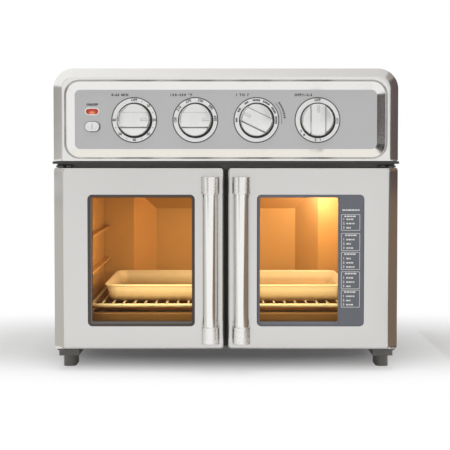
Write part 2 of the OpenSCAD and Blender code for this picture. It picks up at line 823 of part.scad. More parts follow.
// Diameter of the fan's shaft and hub, and the thickness of its back plate
fan_shaft_d = 6;
fan_hub_d = 22;
fan_plate_t = 1.5;
// Thickness of a fan blade
blade_t = 1.6;
// Gap between the fan's back plate and the ceiling
fan_gap = 5;
// How far the fan's shaft reaches into the motor
fan_shaft_in = 24;

// Radius of a blade's curve
blade_r = 52;

// Curved blade: the arc of a circle through the fan's axis, from the hub to near the rim
module blade() intersection() {
  translate([0, blade_r]) difference() {
    circle(r = blade_r + blade_t / 2);
    circle(r = blade_r - blade_t / 2);
  }
  difference() {
    circle(d = fan_d - 2 * blade_t);
    circle(d = fan_hub_d - 2 * blade_t);
  }
  translate([0, -fan_d / 2]) square(fan_d);
}

module fan_impeller() color("silver") translate([0, y_cavity_mid, z_ceiling - fan_gap]) {
  translate([0, 0, -fan_plate_t]) cylinder(h = fan_plate_t, d = fan_d);
  translate([0, 0, -fan_h]) cylinder(h = fan_h, d = fan_hub_d);
  cylinder(h = fan_gap + sheet_t + fan_shaft_in, d = fan_shaft_d);
  translate([0, 0, -fan_h + fan_plate_t]) linear_extrude(fan_h - 2 * fan_plate_t)
    for (k = [0:fan_blades - 1]) rotate(k * 360 / fan_blades) blade();
}

module fan_motor() color("grey") translate([0, y_cavity_mid, z_ceiling + sheet_t]) difference() {
  union() {
    cylinder(h = motor_h, d = motor_d);
    translate([-motor_d / 2 - motor_ear, -motor_ear, 0])
      cube([motor_d + 2 * motor_ear, 2 * motor_ear, 2 * sheet_t]);
    cylinder(h = motor_h + motor_ear, d = motor_d / 3);
  }
  translate([0, 0, -cut]) cylinder(h = fan_shaft_in + seat_gap + cut, d = fan_shaft_d + 2 * bore_clear);
}
// Reach of the motor's mounting ears
motor_ear = 9;

// Number and width of the fan guard's slots, the radius where they start and the rim outside them
guard_slots = 28;
guard_slot_w = 5;
guard_slot_in = 30;
guard_rim = 8;
// Wall of the fan guard
guard_t = 1;

module fan_guard() color("silver") translate([0, y_cavity_mid, z_ceiling - guard_h]) difference() {
  cylinder(h = guard_h, d = guard_d);
  translate([0, 0, guard_t]) cylinder(h = guard_h, d = guard_d - 2 * guard_t);
  for (k = [0:guard_slots - 1]) rotate(k * 360 / guard_slots)
    translate([guard_slot_in, -guard_slot_w / 2, -cut])
      cube([guard_d / 2 - guard_rim - guard_slot_in, guard_slot_w, guard_t + 2 * cut]);
  for (k = [0:guard_slots / 2 - 1]) rotate(k * 720 / guard_slots)
    translate([guard_d / 2 - 2 * guard_t, -guard_slot_w, 2 * guard_slot_w])
      cube([4 * guard_t, 2 * guard_slot_w, guard_slot_w]);
}

// Lamp: glass dome inside the wall, bulb and cup-shaped socket outside it
lamp_wall = 1.2;
lamp_flange = 4;
lamp_dome_h = 9;
lamp_bulb_d = 20;
lamp_neck_d = 14;
lamp_cup_l = 27;

module lamp_cover() color("moccasin") translate([cavity_w / 2, y_cavity_mid, z_lamp]) rotate([0, -90, 0])
  difference() {
    union() {
      cylinder(h = lamp_wall * 2, d = lamp_d + 2 * lamp_flange);
      cylinder(h = lamp_dome_h, d1 = lamp_d, d2 = lamp_d - lamp_dome_h);
    }
    translate([0, 0, -cut]) cylinder(h = lamp_dome_h - lamp_wall + cut,
      d1 = lamp_d - 2 * lamp_wall, d2 = lamp_d - lamp_dome_h - 2 * lamp_wall);
  }

module lamp_socket() color("silver")
  translate([cavity_w / 2 + sheet_t, y_cavity_mid, z_lamp]) rotate([0, 90, 0]) difference() {
    cylinder(h = lamp_cup_l, d = lamp_d + 2 * lamp_flange);
    translate([0, 0, -cut])
      cylinder(h = lamp_cup_l - lamp_wall + cut, d = lamp_d + 2 * lamp_flange - 2 * lamp_wall);
  }

module lamp_bulb() color("wheat") {
  x1 = cavity_w / 2 + sheet_t + lamp_cup_l - lamp_wall;
  neck = lamp_cup_l / 2;
  translate([x1 - neck, y_cavity_mid, z_lamp]) {
    rotate([0, 90, 0]) cylinder(h = neck, d = lamp_neck_d);
    sphere(d = lamp_bulb_d);
  }
}

// Hinges and catches

// Left hinge plate standing out of the front frame, from height z
module hinge_plate(z) translate([0, 0, z]) linear_extrude(hinge_plate_t) difference() {
  union() {
    translate([hinge_x, y_hinge]) circle(r = hinge_boss_r);
    translate([hinge_x - hinge_boss_r, y_hinge])
      square([hinge_plate_w - hinge_inset + hinge_boss_r, y_frame - y_hinge]);
  }
  translate([hinge_x, y_hinge]) circle(d = hinge_pin_d);
}
// Undersides of the lower and the upper hinge plates
z_plates = [foot_h, z_door_top + hinge_gap];

module hinge_plates() color("dimgrey") both_sides() for (z = z_plates) hinge_plate(z);

module hinge_pins() color("silver") both_sides() translate([hinge_x, y_hinge, 0]) {
  len = hinge_plate_t + hinge_gap + hinge_pin_reach;
  translate([0, 0, z_plates[0]]) cylinder(h = len, d = hinge_pin_d);
  translate([0, 0, z_plates[1] + hinge_plate_t - len]) cylinder(h = len, d = hinge_pin_d);
}

// Width and height of a door catch on the front frame
catch_w = 16;
catch_h = 5;

module door_catches() color("black") both_sides()
  translate([door_x1 - catch_w - catch_h, y_door_back + seat_gap, z_door_top - head_h / 2 - catch_h / 2])
    cube([catch_w, door_clear - seat_gap, catch_h]);

// Doors, all drawn on the left and mirrored for the right

// Closed form of a door set in by the given wall, open past its back
module door_form(wall) intersection() {
  translate([0, 0, z_door]) linear_extrude(door_h) {
    translate([door_x0 + wall, y_face + wall])
      edge_section(door_w / 2 - wall + cut, door_t, door_edge_r - wall);
    translate([door_x1 - wall, y_face + wall]) mirror([1, 0])
      edge_section(door_w / 2 - wall + cut, door_t, door_soft_r - wall);
  }
  along_y(y_face, door_t + wall) translate([door_x0 + door_w / 2, z_door + door_h / 2])
    rounded_rect(door_w - 2 * wall, door_h - 2 * wall, door_corner_r - wall);
  along_x(door_x0, door_w) for (m = [0, 1])
    translate([y_face + wall, z_door + door_h / 2]) mirror([0, m]) translate([0, door_h / 2 - wall])
      rotate(-90) edge_section(door_h / 2 - wall + cut, door_t, door_soft_r - wall);
}

// Window outline grown by the given amount, at its place in the door
module window_outline(grow) translate([window_x, window_z])
  rounded_rect(window_w + 2 * grow, window_h + 2 * grow, window_r + grow);

module door_skin() color("gainsboro") difference() {
  door_form(0);
  door_form(door_skin_t);
  along_y(y_face - cut, 2 * cut + door_skin_t) window_outline(0);
  translate([hinge_x, y_hinge, z_door - cut]) cylinder(h = door_h + 2 * cut, d = hinge_pin_d + pin_room);
}

module door_liner() color("dimgrey") difference() {
  set_in = door_skin_t + sheet_gap;
  union() {
    along_y(y_door_back - liner_t, liner_t) translate([door_x0 + door_w / 2, z_door + door_h / 2])
      rounded_rect(door_w - 2 * set_in, door_h - 2 * set_in, door_corner_r - set_in);
    for (z = [z_door + set_in, z_door_top - set_in - hinge_boss_h])
      translate([hinge_x, 0, z]) {
        translate([0, y_hinge, 0]) cylinder(h = hinge_boss_h, r = hinge_boss_r);
        translate([-hinge_boss_r, y_hinge, 0]) cube([2 * hinge_boss_r, hinge_back - liner_t, hinge_boss_h]);
      }
  }
  along_y(y_door_back - liner_t - cut, liner_t + 2 * cut) window_outline(-bezel_w);
  translate([hinge_x, y_hinge, z_door - cut])
    cylinder(h = door_h + 2 * cut, d = hinge_pin_d + 2 * bore_clear);
}

module window_bezel() color("black") along_y(y_face - bezel_out, bezel_l + bezel_out) difference() {
  window_outline(0);
  window_outline(-bezel_w);
}

module window_glass() color("lightblue") along_y(y_glass, glass_t) window_outline(glass_lap);

module handle_tube() color("whitesmoke")
  translate([-handle_off, y_handle_axis, handle_z0 + post_h - post_socket]) difference() {
    cylinder(h = handle_z1 - handle_z0 - 2 * (post_h - post_socket), d = handle_d);
    translate([0, 0, -cut]) cylinder(h = door_h, d = handle_d - 2 * handle_wall);
  }

// Posts: round fronted blocks on the door face with sockets that face each other
module handle_posts() color("gainsboro") difference() {
  for (z = [handle_z0, handle_z1 - post_h])
    translate([-handle_off, 0, z]) linear_extrude(post_h) {
      translate([0, y_handle_axis]) circle(d = post_w);
      translate([-post_w / 2, y_handle_axis]) square([post_w, y_face - y_handle_axis]);
    }
  translate([-handle_off, y_handle_axis, handle_z0 + post_h - post_socket])
    cylinder(h = handle_z1 - handle_z0 - 2 * (post_h - post_socket), d = handle_d);
}

module left_door_skin() door_skin();
module left_door_liner() door_liner();
module left_window_bezel() window_bezel();
module left_window_glass() window_glass();
module left_handle_tube() handle_tube();
module left_handle_posts() handle_posts();
module right_door_skin() mirror([1, 0, 0]) door_skin();
module right_door_liner() mirror([1, 0, 0]) door_liner();
module right_window_bezel() mirror([1, 0, 0]) window_bezel();
module right_window_glass() mirror([1, 0, 0]) window_glass();
module right_handle_tube() mirror([1, 0, 0]) handle_tube();
module right_handle_posts() mirror([1, 0, 0]) handle_posts();

// Inserts: rack, pan and crumb tray

rack_w = cavity_w - 2 * rack_clear;
y_rack = y_frame + rack_set;
// How deep the cross wires sink into the frame rod where they are welded
weld = 0.8;
z_wire = z_rack + rack_rod_d / 2 + rack_wire_d / 2 - weld;
rack_wires = floor((rack_w - 2 * rack_rod_d - 2 * rack_bend) / rack_pitch) + 1;

// Closed loop of round rod about the middle, w by l over its outside, with bent corners
module rod_loop(w, l, d, bend) {
  cx = (w - d) / 2 - bend;
  cy = (l - d) / 2 - bend;
  both_sides() bar_y(-cx - bend, 0, -cy, 2 * cy, d);
  for (s = [-1, 1]) bar_x(s * (cy + bend), 0, -cx, 2 * cx, d);
  both_sides() for (m = [0, 1]) mirror([0, m, 0]) translate([cx, cy, 0])
    rotate_extrude(angle = 90) translate([bend, 0]) circle(d = d);
}

module wire_rack() color("silver") {
  translate([0, y_rack + rack_l / 2, z_rack]) rod_loop(rack_w, rack_l, rack_rod_d, rack_bend);
  for (i = [0:rack_wires - 1])
    bar_y((i - (rack_wires - 1) / 2) * rack_pitch, z_wire, y_rack + weld, rack_l - 2 * weld, rack_wire_d);
}

z_pan = z_wire + rack_wire_d / 2 + seat_gap;
y_pan = y_rack + pan_set;

module baking_pan() color("darkgrey") translate([0, y_pan + pan_l / 2, z_pan]) {
  well_w = pan_w - 2 * pan_rim_w;
  well_l = pan_l - 2 * pan_rim_w;
  difference() {
    union() {
      linear_extrude(pan_h) rounded_rect(well_w, well_l, pan_r - pan_rim_w);
      translate([0, 0, pan_h - 2 * pan_wall]) linear_extrude(2 * pan_wall) rounded_rect(pan_w, pan_l, pan_r);
    }
    translate([0, 0, pan_wall]) linear_extrude(pan_h)
      rounded_rect(well_w - 2 * pan_wall, well_l - 2 * pan_wall, pan_r - pan_rim_w - pan_wall);
  }
}

tray_w = cavity_w - 2 * tray_clear;
y_tray = y_frame + tray_set;
// Depth of the fold along the top of the crumb tray's front
tray_fold = 6;

module crumb_tray() color("peru") translate([-tray_w / 2, y_tray, z_floor + seat_gap]) {
  cube([tray_w, tray_l, sheet_t]);
  cube([tray_w, sheet_t, tray_front_h]);
  translate([0, 0, tray_front_h - sheet_t]) cube([tray_w, tray_fold, sheet_t]);
  translate([0, tray_l - sheet_t, 0]) cube([tray_w, sheet_t, tray_wall_h]);
  for (x = [0, tray_w - sheet_t]) translate([x, 0, 0]) cube([sheet_t, tray_l, tray_wall_h]);
}

header_fascia();
control_panel();
trim_strip();
outer_wrap();
rear_cover();
base_plate();
front_feet();
rear_feet();
front_frame();
cavity_side_left();
cavity_side_right();
cavity_ceiling();
cavity_floor();
cavity_back();
upper_elements();
lower_elements();
element_bushes();
fan_motor();
fan_guard();
lamp_socket();
lamp_bulb();
lamp_cover();
temperature_control();
shade_control();
function_switch();
timer_control();
dial_plates();
indicator_lens();
switch_housing();
cord_gland();
case_screws();
hinge_plates();
hinge_pins();
door_catches();
left_door_skin();
left_door_liner();
left_window_bezel();
left_window_glass();
left_handle_tube();
left_handle_posts();
right_door_skin();
right_door_liner();
right_window_bezel();
right_window_glass();
right_handle_tube();
right_handle_posts();
knob(1);  // temperature_knob
knob(3);  // shade_knob
knob(2);  // function_knob
knob(0);  // timer_knob
spindle(1);  // temperature_spindle
spindle(3);  // shade_spindle
spindle(2);  // function_spindle
spindle(0);  // timer_spindle
light_button();
fan_impeller();
wire_rack();
baking_pan();
crumb_tray();
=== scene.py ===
"""Looks of a countertop air fryer toaster oven with two side-hinged doors.

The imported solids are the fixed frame. Every shell that shows is a surface worked out on a grid of two
parameters or a profile carried round a path, and every finish is a node material. Lengths are in metres
in the frame's own axes: +X to the user's right, -Y out of the front and +Z up.
"""

from __future__ import annotations

import json
import logging
import math
from dataclasses import dataclass, field, replace
from enum import Enum
from typing import Any

import bmesh
import bpy
import numpy as np
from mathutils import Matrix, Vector

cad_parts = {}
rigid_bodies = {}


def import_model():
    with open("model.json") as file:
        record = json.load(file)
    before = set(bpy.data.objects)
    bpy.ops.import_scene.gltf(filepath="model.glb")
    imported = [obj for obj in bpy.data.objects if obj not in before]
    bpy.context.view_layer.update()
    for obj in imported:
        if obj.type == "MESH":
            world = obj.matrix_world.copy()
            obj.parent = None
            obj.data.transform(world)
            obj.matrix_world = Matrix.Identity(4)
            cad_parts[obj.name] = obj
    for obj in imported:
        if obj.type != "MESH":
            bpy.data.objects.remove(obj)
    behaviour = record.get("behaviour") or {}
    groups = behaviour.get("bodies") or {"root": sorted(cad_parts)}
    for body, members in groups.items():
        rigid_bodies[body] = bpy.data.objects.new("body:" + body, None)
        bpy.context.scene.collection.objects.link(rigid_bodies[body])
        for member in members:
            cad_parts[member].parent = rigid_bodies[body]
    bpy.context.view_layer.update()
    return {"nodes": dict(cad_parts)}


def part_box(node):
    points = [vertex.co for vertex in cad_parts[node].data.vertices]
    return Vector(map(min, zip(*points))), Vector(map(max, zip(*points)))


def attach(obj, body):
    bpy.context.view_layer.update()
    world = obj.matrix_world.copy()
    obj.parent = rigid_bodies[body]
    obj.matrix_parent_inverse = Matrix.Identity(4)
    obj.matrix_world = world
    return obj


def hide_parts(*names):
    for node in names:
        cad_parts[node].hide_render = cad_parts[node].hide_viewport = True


LOG = logging.getLogger("oven")
MM = 0.001
# Distance within which points are one.
WELD = 1e-7
# Corner radius of fine bars.
FINE_ROUND = 0.2 * MM
Array = np.ndarray
Span = tuple[float, float]
Colour = Point = tuple[float, float, float]
Socket = bpy.types.NodeSocket


class Side(Enum):
    """Side of the oven, as the sign of its X."""

    LEFT = -1
    RIGHT = 1


class Grain(Enum):
    """Way the polishing lines of a metal run, as noise steps per metre along X, Y and Z."""

    ACROSS = (12.0, 1100.0, 1100.0)
    UPRIGHT = (1100.0, 1100.0, 12.0)
    DEEP = (1100.0, 12.0, 1100.0)
    EVEN = (420.0, 420.0, 420.0)
    FINE = (6.0, 2500.0, 2500.0)


@dataclass(frozen=True)
class Bounds:
    """Box of frame nodes at rest.

    Attributes:
        lo: Lowest corner.
        hi: Highest corner.
    """

    lo: Array
    hi: Array

    @classmethod
    def of(cls, *nodes: str) -> Bounds:
        """Return the box round the named nodes."""
        corners = np.array([[tuple(corner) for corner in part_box(node)] for node in nodes])
        return cls(corners[:, 0].min(axis=0), corners[:, 1].max(axis=0))

    @property
    def middle(self) -> Array:
        """Middle of the box."""
        return (self.lo + self.hi) / 2

    @property
    def sides(self) -> Array:
        """Left, right, bottom and top of the box seen from the front."""
        return np.array([self.lo[0], self.hi[0], self.lo[2], self.hi[2]])


@dataclass
class Shell:
    """Surface of a piece before it becomes a mesh.

    Attributes:
        points: One row of x, y and z for each vertex.
        quads: One row of four vertex numbers for each four-sided face.
        tris: One row of three vertex numbers for each triangle.
    """

    points: Array
    quads: Array = field(default_factory=lambda: np.zeros((0, 4), int))
    tris: Array = field(default_factory=lambda: np.zeros((0, 3), int))

    def __add__(self, other: Shell) -> Shell:
        """Return both surfaces as one, side by side."""
        step = len(self.points)
        return Shell(
            np.vstack([self.points, other.points]),
            np.vstack([self.quads, other.quads + step]),
            np.vstack([self.tris, other.tris + step]),
        )

    def outward(self) -> Shell:
        """Return the closed surface with its faces turned outwards.

        Six times the volume inside is the sum over the triangles of the triple product of their corners,
        and it is negative where the faces look inwards.

        Returns:
            The same surface, or one with every face reversed.
        """
        flat = np.vstack([self.quads[:, [0, 1, 2]], self.quads[:, [0, 2, 3]], self.tris])
        a, b, c = (self.points[flat[:, i]] - self.points.mean(axis=0) for i in range(3))
        if np.einsum("ij,ij->", a, np.cross(b, c)) >= 0:
            return self
        return Shell(self.points, self.quads[:, ::-1], self.tris[:, ::-1])

    def welded(self) -> Shell:
        """Return the surface with points that coincide made one and collapsed faces removed.

        A four-sided face that has lost one corner becomes a triangle.

        Returns:
            The closed-up surface.
        """
        keys = np.round(self.points / WELD).astype(np.int64)
        _, first, back = np.unique(keys, axis=0, return_index=True, return_inverse=True)
        back = back.reshape(-1)
        quads, tris = back[self.quads], back[self.tris]
        kept = quads != np.roll(quads, 1, axis=1)
        whole, short = kept.sum(axis=1) == 4, kept.sum(axis=1) == 3
        cut = quads[short][kept[short]].reshape(-1, 3)
        sound = (tris != np.roll(tris, 1, axis=1)).all(axis=1)
        return Shell(self.points[first], quads[whole], np.vstack([cut, tris[sound]]))

    def turned(self, angle: float, pivot: Array) -> Shell:
        """Return the surface turned clockwise, seen from the front, about a line along Y.

        With c and s the cosine and sine, x becomes c x + s z and z becomes c z - s x about the pivot.

        Args:
            angle: Angle in degrees.
            pivot: Point on the line.

        Returns:
            The turned surface.
        """
        c, s = math.cos(math.radians(angle)), math.sin(math.radians(angle))
        x, y, z = (self.points - pivot).T
        return Shell(np.stack([c * x + s * z, y, c * z - s * x], axis=1) + pivot, self.quads, self.tris)

    def mirrored(self, side: Side) -> Shell:
        """Return the surface as it is for the left side and mirrored in X for the right side."""
        return Shell(self.points * [-side.value, 1, 1], self.quads, self.tris).outward()

    def mesh(self, name: str) -> bpy.types.Mesh:
        """Return the surface as a new mesh."""
        made = bpy.data.meshes.new(name)
        made.from_pydata(self.points.tolist(), [], self.quads.tolist() + self.tris.tolist())
        return made

    def alike(self) -> Shell:
        """Return the welded surface with its faces turned the same way by Blender's recalculation.

        Returns:
            The same points, with four-sided faces and triangles that agree.
        """
        mesh = self.mesh("alike")
        work = bmesh.new()
        work.from_mesh(mesh)
        bmesh.ops.recalc_face_normals(work, faces=work.faces[:])
        work.to_mesh(mesh)
        work.free()
        faces = [list(face.vertices) for face in mesh.polygons]
        bpy.data.meshes.remove(mesh)
        quads = np.array([face for face in faces if len(face) == 4], int).reshape(-1, 4)
        tris = np.array([face for face in faces if len(face) == 3], int).reshape(-1, 3)
        return Shell(self.points, quads, tris)


def placed(name: str, data: bpy.types.ID) -> bpy.types.Object:
    """Return a new object of the scene that holds a mesh, a curve, a lamp or a camera."""
    made = bpy.data.objects.new(name, data)
    bpy.context.scene.collection.objects.link(made)
    return made


def turn_to(thing: bpy.types.Object, way: Point) -> None:
    """Turn a lamp or the camera so that it looks along a direction."""
    thing.rotation_mode = "QUATERNION"
    thing.rotation_quaternion = Vector(way).to_track_quat("-Z", "Y")


def joined(shells: list[Shell]) -> Shell:
    """Return several surfaces as one."""
    return sum(shells[1:], shells[0])


def patch(grid: Array) -> Shell:
    """Join a grid of points into an open surface.

    Face (i, j) runs from point j to j + 1 of row i and back along row i + 1.

    Args:
        grid: Points as (rows, columns, 3).

    Returns:
        The surface.
    """
    rows, cols = grid.shape[:2]
    corner = np.arange(rows - 1)[:, None] * cols + np.arange(cols - 1)
    quads = np.stack([corner, corner + 1, corner + cols + 1, corner + cols], axis=-1)
    return Shell(grid.reshape(-1, 3), quads.reshape(-1, 4))


def skin(rings: Array, loop: bool = False, caps: bool = False) -> Shell:
    """Join closed rings of points into a surface.

    Face (i, j) runs from point j to j + 1 of ring i and back along ring i + 1. A cap is a fan of triangles
    from the mean point of an end ring.

    Args:
        rings: Points as (rings, points per ring, 3).
        loop: Whether the last ring joins the first.
        caps: Whether the end rings are closed.

    Returns:
        The surface, faces outwards where it is closed.
    """
    rows, cols = rings.shape[:2]
    row = np.arange(rows if loop else rows - 1)[:, None]
    col = np.arange(cols)
    here, there, after = row * cols, (row + 1) % rows * cols, (col + 1) % cols
    quads = np.stack([here + col, here + after, there + after, there + col], axis=-1).reshape(-1, 4)
    points = rings.reshape(-1, 3)
    if not caps:
        return Shell(points, quads).outward()
    last = (rows - 1) * cols
    first_pole, last_pole = np.full(cols, rows * cols), np.full(cols, rows * cols + 1)
    fans = np.vstack([
        np.stack([after, col, first_pole], axis=1),
        np.stack([last + col, last + after, last_pole], axis=1),
    ])
    poles = np.stack([rings[0].mean(axis=0), rings[-1].mean(axis=0)])
    return Shell(np.vstack([points, poles]), quads, fans).outward()


def ring_stack(sides: Array, radii: Array, depths: Array, steps: int = 7) -> Array:
    """Give rounded rectangles seen from the front, one ring for each row.

    A corner is its centre plus its radius times the cosine and sine of an angle that runs through a
    quarter turn. Along a corner the depth passes from one side's to the next side's with the squared sine.

    Args:
        sides: Left, right, bottom and top of each ring, as (rings, 4).
        radii: Radii of the corners right top, left top, left bottom and right bottom, as (rings, 4 or 1).
        depths: Y of the right, top, left and bottom side, as (rings, 4 or 1).
        steps: Points on each corner.

    Returns:
        Points as (rings, 4 * steps, 3).
    """
    count = len(sides)
    radii = np.broadcast_to(radii, (count, 4))
    depths = np.broadcast_to(depths, (count, 4))
    left, right, low, top = np.asarray(sides).T
    x_edge = np.stack([right, left, left, right], axis=1)
    z_edge = np.stack([top, top, low, low], axis=1)
    quarter = np.linspace(0, math.pi / 2, steps)
    angle = np.arange(4)[:, None] * math.pi / 2 + quarter
    x = (x_edge - radii * [1, -1, -1, 1])[..., None] + radii[..., None] * np.cos(angle)
    z = (z_edge - radii * [1, 1, -1, -1])[..., None] + radii[..., None] * np.sin(angle)
    blend = np.sin(quarter) ** 2
    y = depths[..., None] * (1 - blend) + np.roll(depths, -1, axis=1)[..., None] * blend
    return np.stack([x, y, z], axis=-1).reshape(count, -1, 3)


def inset(sides: Array, amount: Array) -> Array:
    """Return one row of left, right, bottom and top for each amount that the sides move inwards."""
    return np.asarray(sides) + np.atleast_1d(amount)[:, None] * [1, -1, 1, -1]


def revolve(profile: Array, centre: Array, upright: bool = False, steps: int = 96,
            loop: bool = False) -> Shell:
    """Carry a profile round a line along Y, or along Z where it stands upright.

    Point j of ring i is the centre plus radius i times the cosine and sine of j, moved along the line by
    the profile's second number: towards the front for Y and upwards for Z.

    Args:
        profile: Radius and distance along the line for each ring.
        centre: Point on the line.
        upright: Whether the line runs along Z.
        steps: Points on each ring.
        loop: Whether the profile is a closed loop; otherwise its ends are capped.

    Returns:
        The surface of revolution.
    """
    radius, along = np.asarray(profile, float).T
    angle = np.arange(steps) * 2 * math.pi / steps
    a, b = np.outer(radius, np.cos(angle)), np.outer(radius, np.sin(angle))
    run = np.repeat(along[:, None], steps, axis=1)
    rings = np.stack([a, b, run] if upright else [a, -run, b], axis=-1) + centre
    return skin(rings, loop=loop, caps=not loop)


def rounded(steps: int, wide: float, deep: float, power: float = 1.0) -> tuple[Array, Array]:
    """Give a rounded edge from its side to its face.

    Over a quarter turn the inset is the width times one minus the cosine, and the depth is its size times
    one minus the sine, with cosine and sine raised to the power.

    Args:
        steps: Points along the edge.
        wide: Width of the edge.
        deep: Depth of the edge.
        power: 1 is round and 2 is a chamfer.

    Returns:
        Inset and depth of each point.
    """
    turn = np.linspace(0, math.pi / 2, steps)
    return wide * (1 - np.cos(turn) ** power), deep * (1 - np.sin(turn) ** power)


def centred(x: float, z: float, half_w: float, half_h: float) -> Array:
    """Return left, right, bottom and top of a box round a point."""
    return np.array([x - half_w, x + half_w, z - half_h, z + half_h])


def band(inner: float, outer: float, top: float, edge: Span) -> Array:
    """Give the profile of a flat ring with broken edges.

    It climbs the inner wall, crosses the top between the broken edges and comes down the outer wall.

    Args:
        inner: Inner radius.
        outer: Outer radius.
        top: Height of the face.
        edge: Width and depth of the broken edges.

    Returns:
        Radius and height of each ring.
    """
    wide, deep = edge
    return np.array([
        [inner, 0], [inner, top - deep], [inner + wide, top],
        [outer - wide, top], [outer, top - deep], [outer, 0],
    ])


def raised_bar(sides: Array, base: float, height: float, radius: float = 0.25 * MM, turn: float = 0.0,
               pivot: Array | None = None) -> Shell:
    """Give a low bar with rounded corners and a broken edge on a face that looks to the front.

    Its rings are the outline at the base, the outline near the top and the outline set in at the top.

    Args:
        sides: Left, right, bottom and top.
        base: Y of the face that carries it.
        height: How far it stands out.
        radius: Corner radius.
        turn: Clockwise angle in degrees about the pivot.
        pivot: Point that it turns about.

    Returns:
        The closed bar.
    """
    edge = min(height, radius) * 0.4
    rings = ring_stack(
        inset(sides, np.array([0, 0, edge])),
        np.array([[radius], [radius], [radius - edge]]),
        base - np.array([[0], [height - edge], [height]]),
        steps=4,
    )
    bar = skin(rings, caps=True)
    return bar if pivot is None else bar.turned(turn, pivot)


def outline_box(sides: Array, width: float, base: float, height: float, radius: float) -> Shell:
    """Give a raised frame line on a face that looks to the front.

    Its rings go up the outer outline, across the top and down the inner outline.

    Args:
        sides: Left, right, bottom and top of the outer outline.
        width: Width of the line.
        base: Y of the face that carries it.
        height: How far it stands out.
        radius: Corner radius of the outer outline.

    Returns:
        The closed line.
    """
    rings = ring_stack(
        inset(sides, np.array([0, 0, width, width])),
        np.array([[radius], [radius], [radius - width / 2], [radius - width / 2]]),
        base - np.array([[0], [height], [height], [0]]),
        steps=4,
    )
    return skin(rings, loop=True)


def arc_line(centre: Array, radius: float, width: float, start: float, end: float, base: float,
             height: float) -> Shell:
    """Give a raised line along an arc about a centre.

    Each ring is a small rectangle across the line, at the radius plus or minus half the width, in the
    direction of the sine and cosine of a clockwise angle from straight up.

    Args:
        centre: Middle of the arc.
        radius: Radius of the line's middle.
        width: Width of the line.
        start: First angle in degrees.
        end: Last angle in degrees.
        base: Y of the face that carries it.
        height: How far it stands out.

    Returns:
        The closed line.
    """
    angle = np.radians(np.linspace(start, end, 40))[:, None]
    reach = radius + width / 2 * np.array([-1, 1, 1, -1])
    y = np.broadcast_to(base - height * np.array([0, 0, 1, 1]), (len(angle), 4))
    rings = np.stack([centre[0] + reach * np.sin(angle), y, centre[2] + reach * np.cos(angle)], axis=-1)
    return skin(rings, caps=True)


def lettering(words: str, height: float, spot: Array, turn: float = 0.0, rise: float = 0.12 * MM,
              weight: float = 0.05, spacing: float = 1.0) -> Shell:
    """Give thin raised characters that face the front.

    The filled outline of the built-in typeface lies in its own XY plane: x stays, y becomes z and the
    thickness runs to -Y.

    Args:
        words: Characters.
        height: Height of a capital.
        spot: Middle of the characters on the face that carries them.
        turn: Clockwise angle in degrees.
        rise: How far they stand out.
        weight: Extra stroke width as a share of the height.
        spacing: Distance between characters as a share of the usual one.

    Returns:
        The characters as closed shells.
    """
    capital_share = 0.7
    curve = bpy.data.curves.new("lettering", "FONT")
    curve.body = words
    curve.size = height / capital_share
    curve.space_character = spacing
    curve.align_x = "CENTER"
    curve.align_y = "CENTER"
    curve.extrude = rise / 2
    curve.offset = weight * height
    curve.resolution_u = 3
    holder = placed("lettering", curve)
    mesh = bpy.data.meshes.new_from_object(holder.evaluated_get(bpy.context.evaluated_depsgraph_get()))
    mesh.calc_loop_triangles()
    flat = np.empty(len(mesh.vertices) * 3, np.float32)
    mesh.vertices.foreach_get("co", flat)
    tris = np.empty(len(mesh.loop_triangles) * 3, np.int32)
    mesh.loop_triangles.foreach_get("vertices", tris)
    bpy.data.objects.remove(holder)
    bpy.data.curves.remove(curve)
    bpy.data.meshes.remove(mesh)
    x, y, z = flat.reshape(-1, 3).astype(float).T
    points = np.stack([x, -z - rise / 2, y], axis=1) + spot
    return Shell(points, tris=tris.reshape(-1, 3).astype(int)).turned(turn, np.asarray(spot))


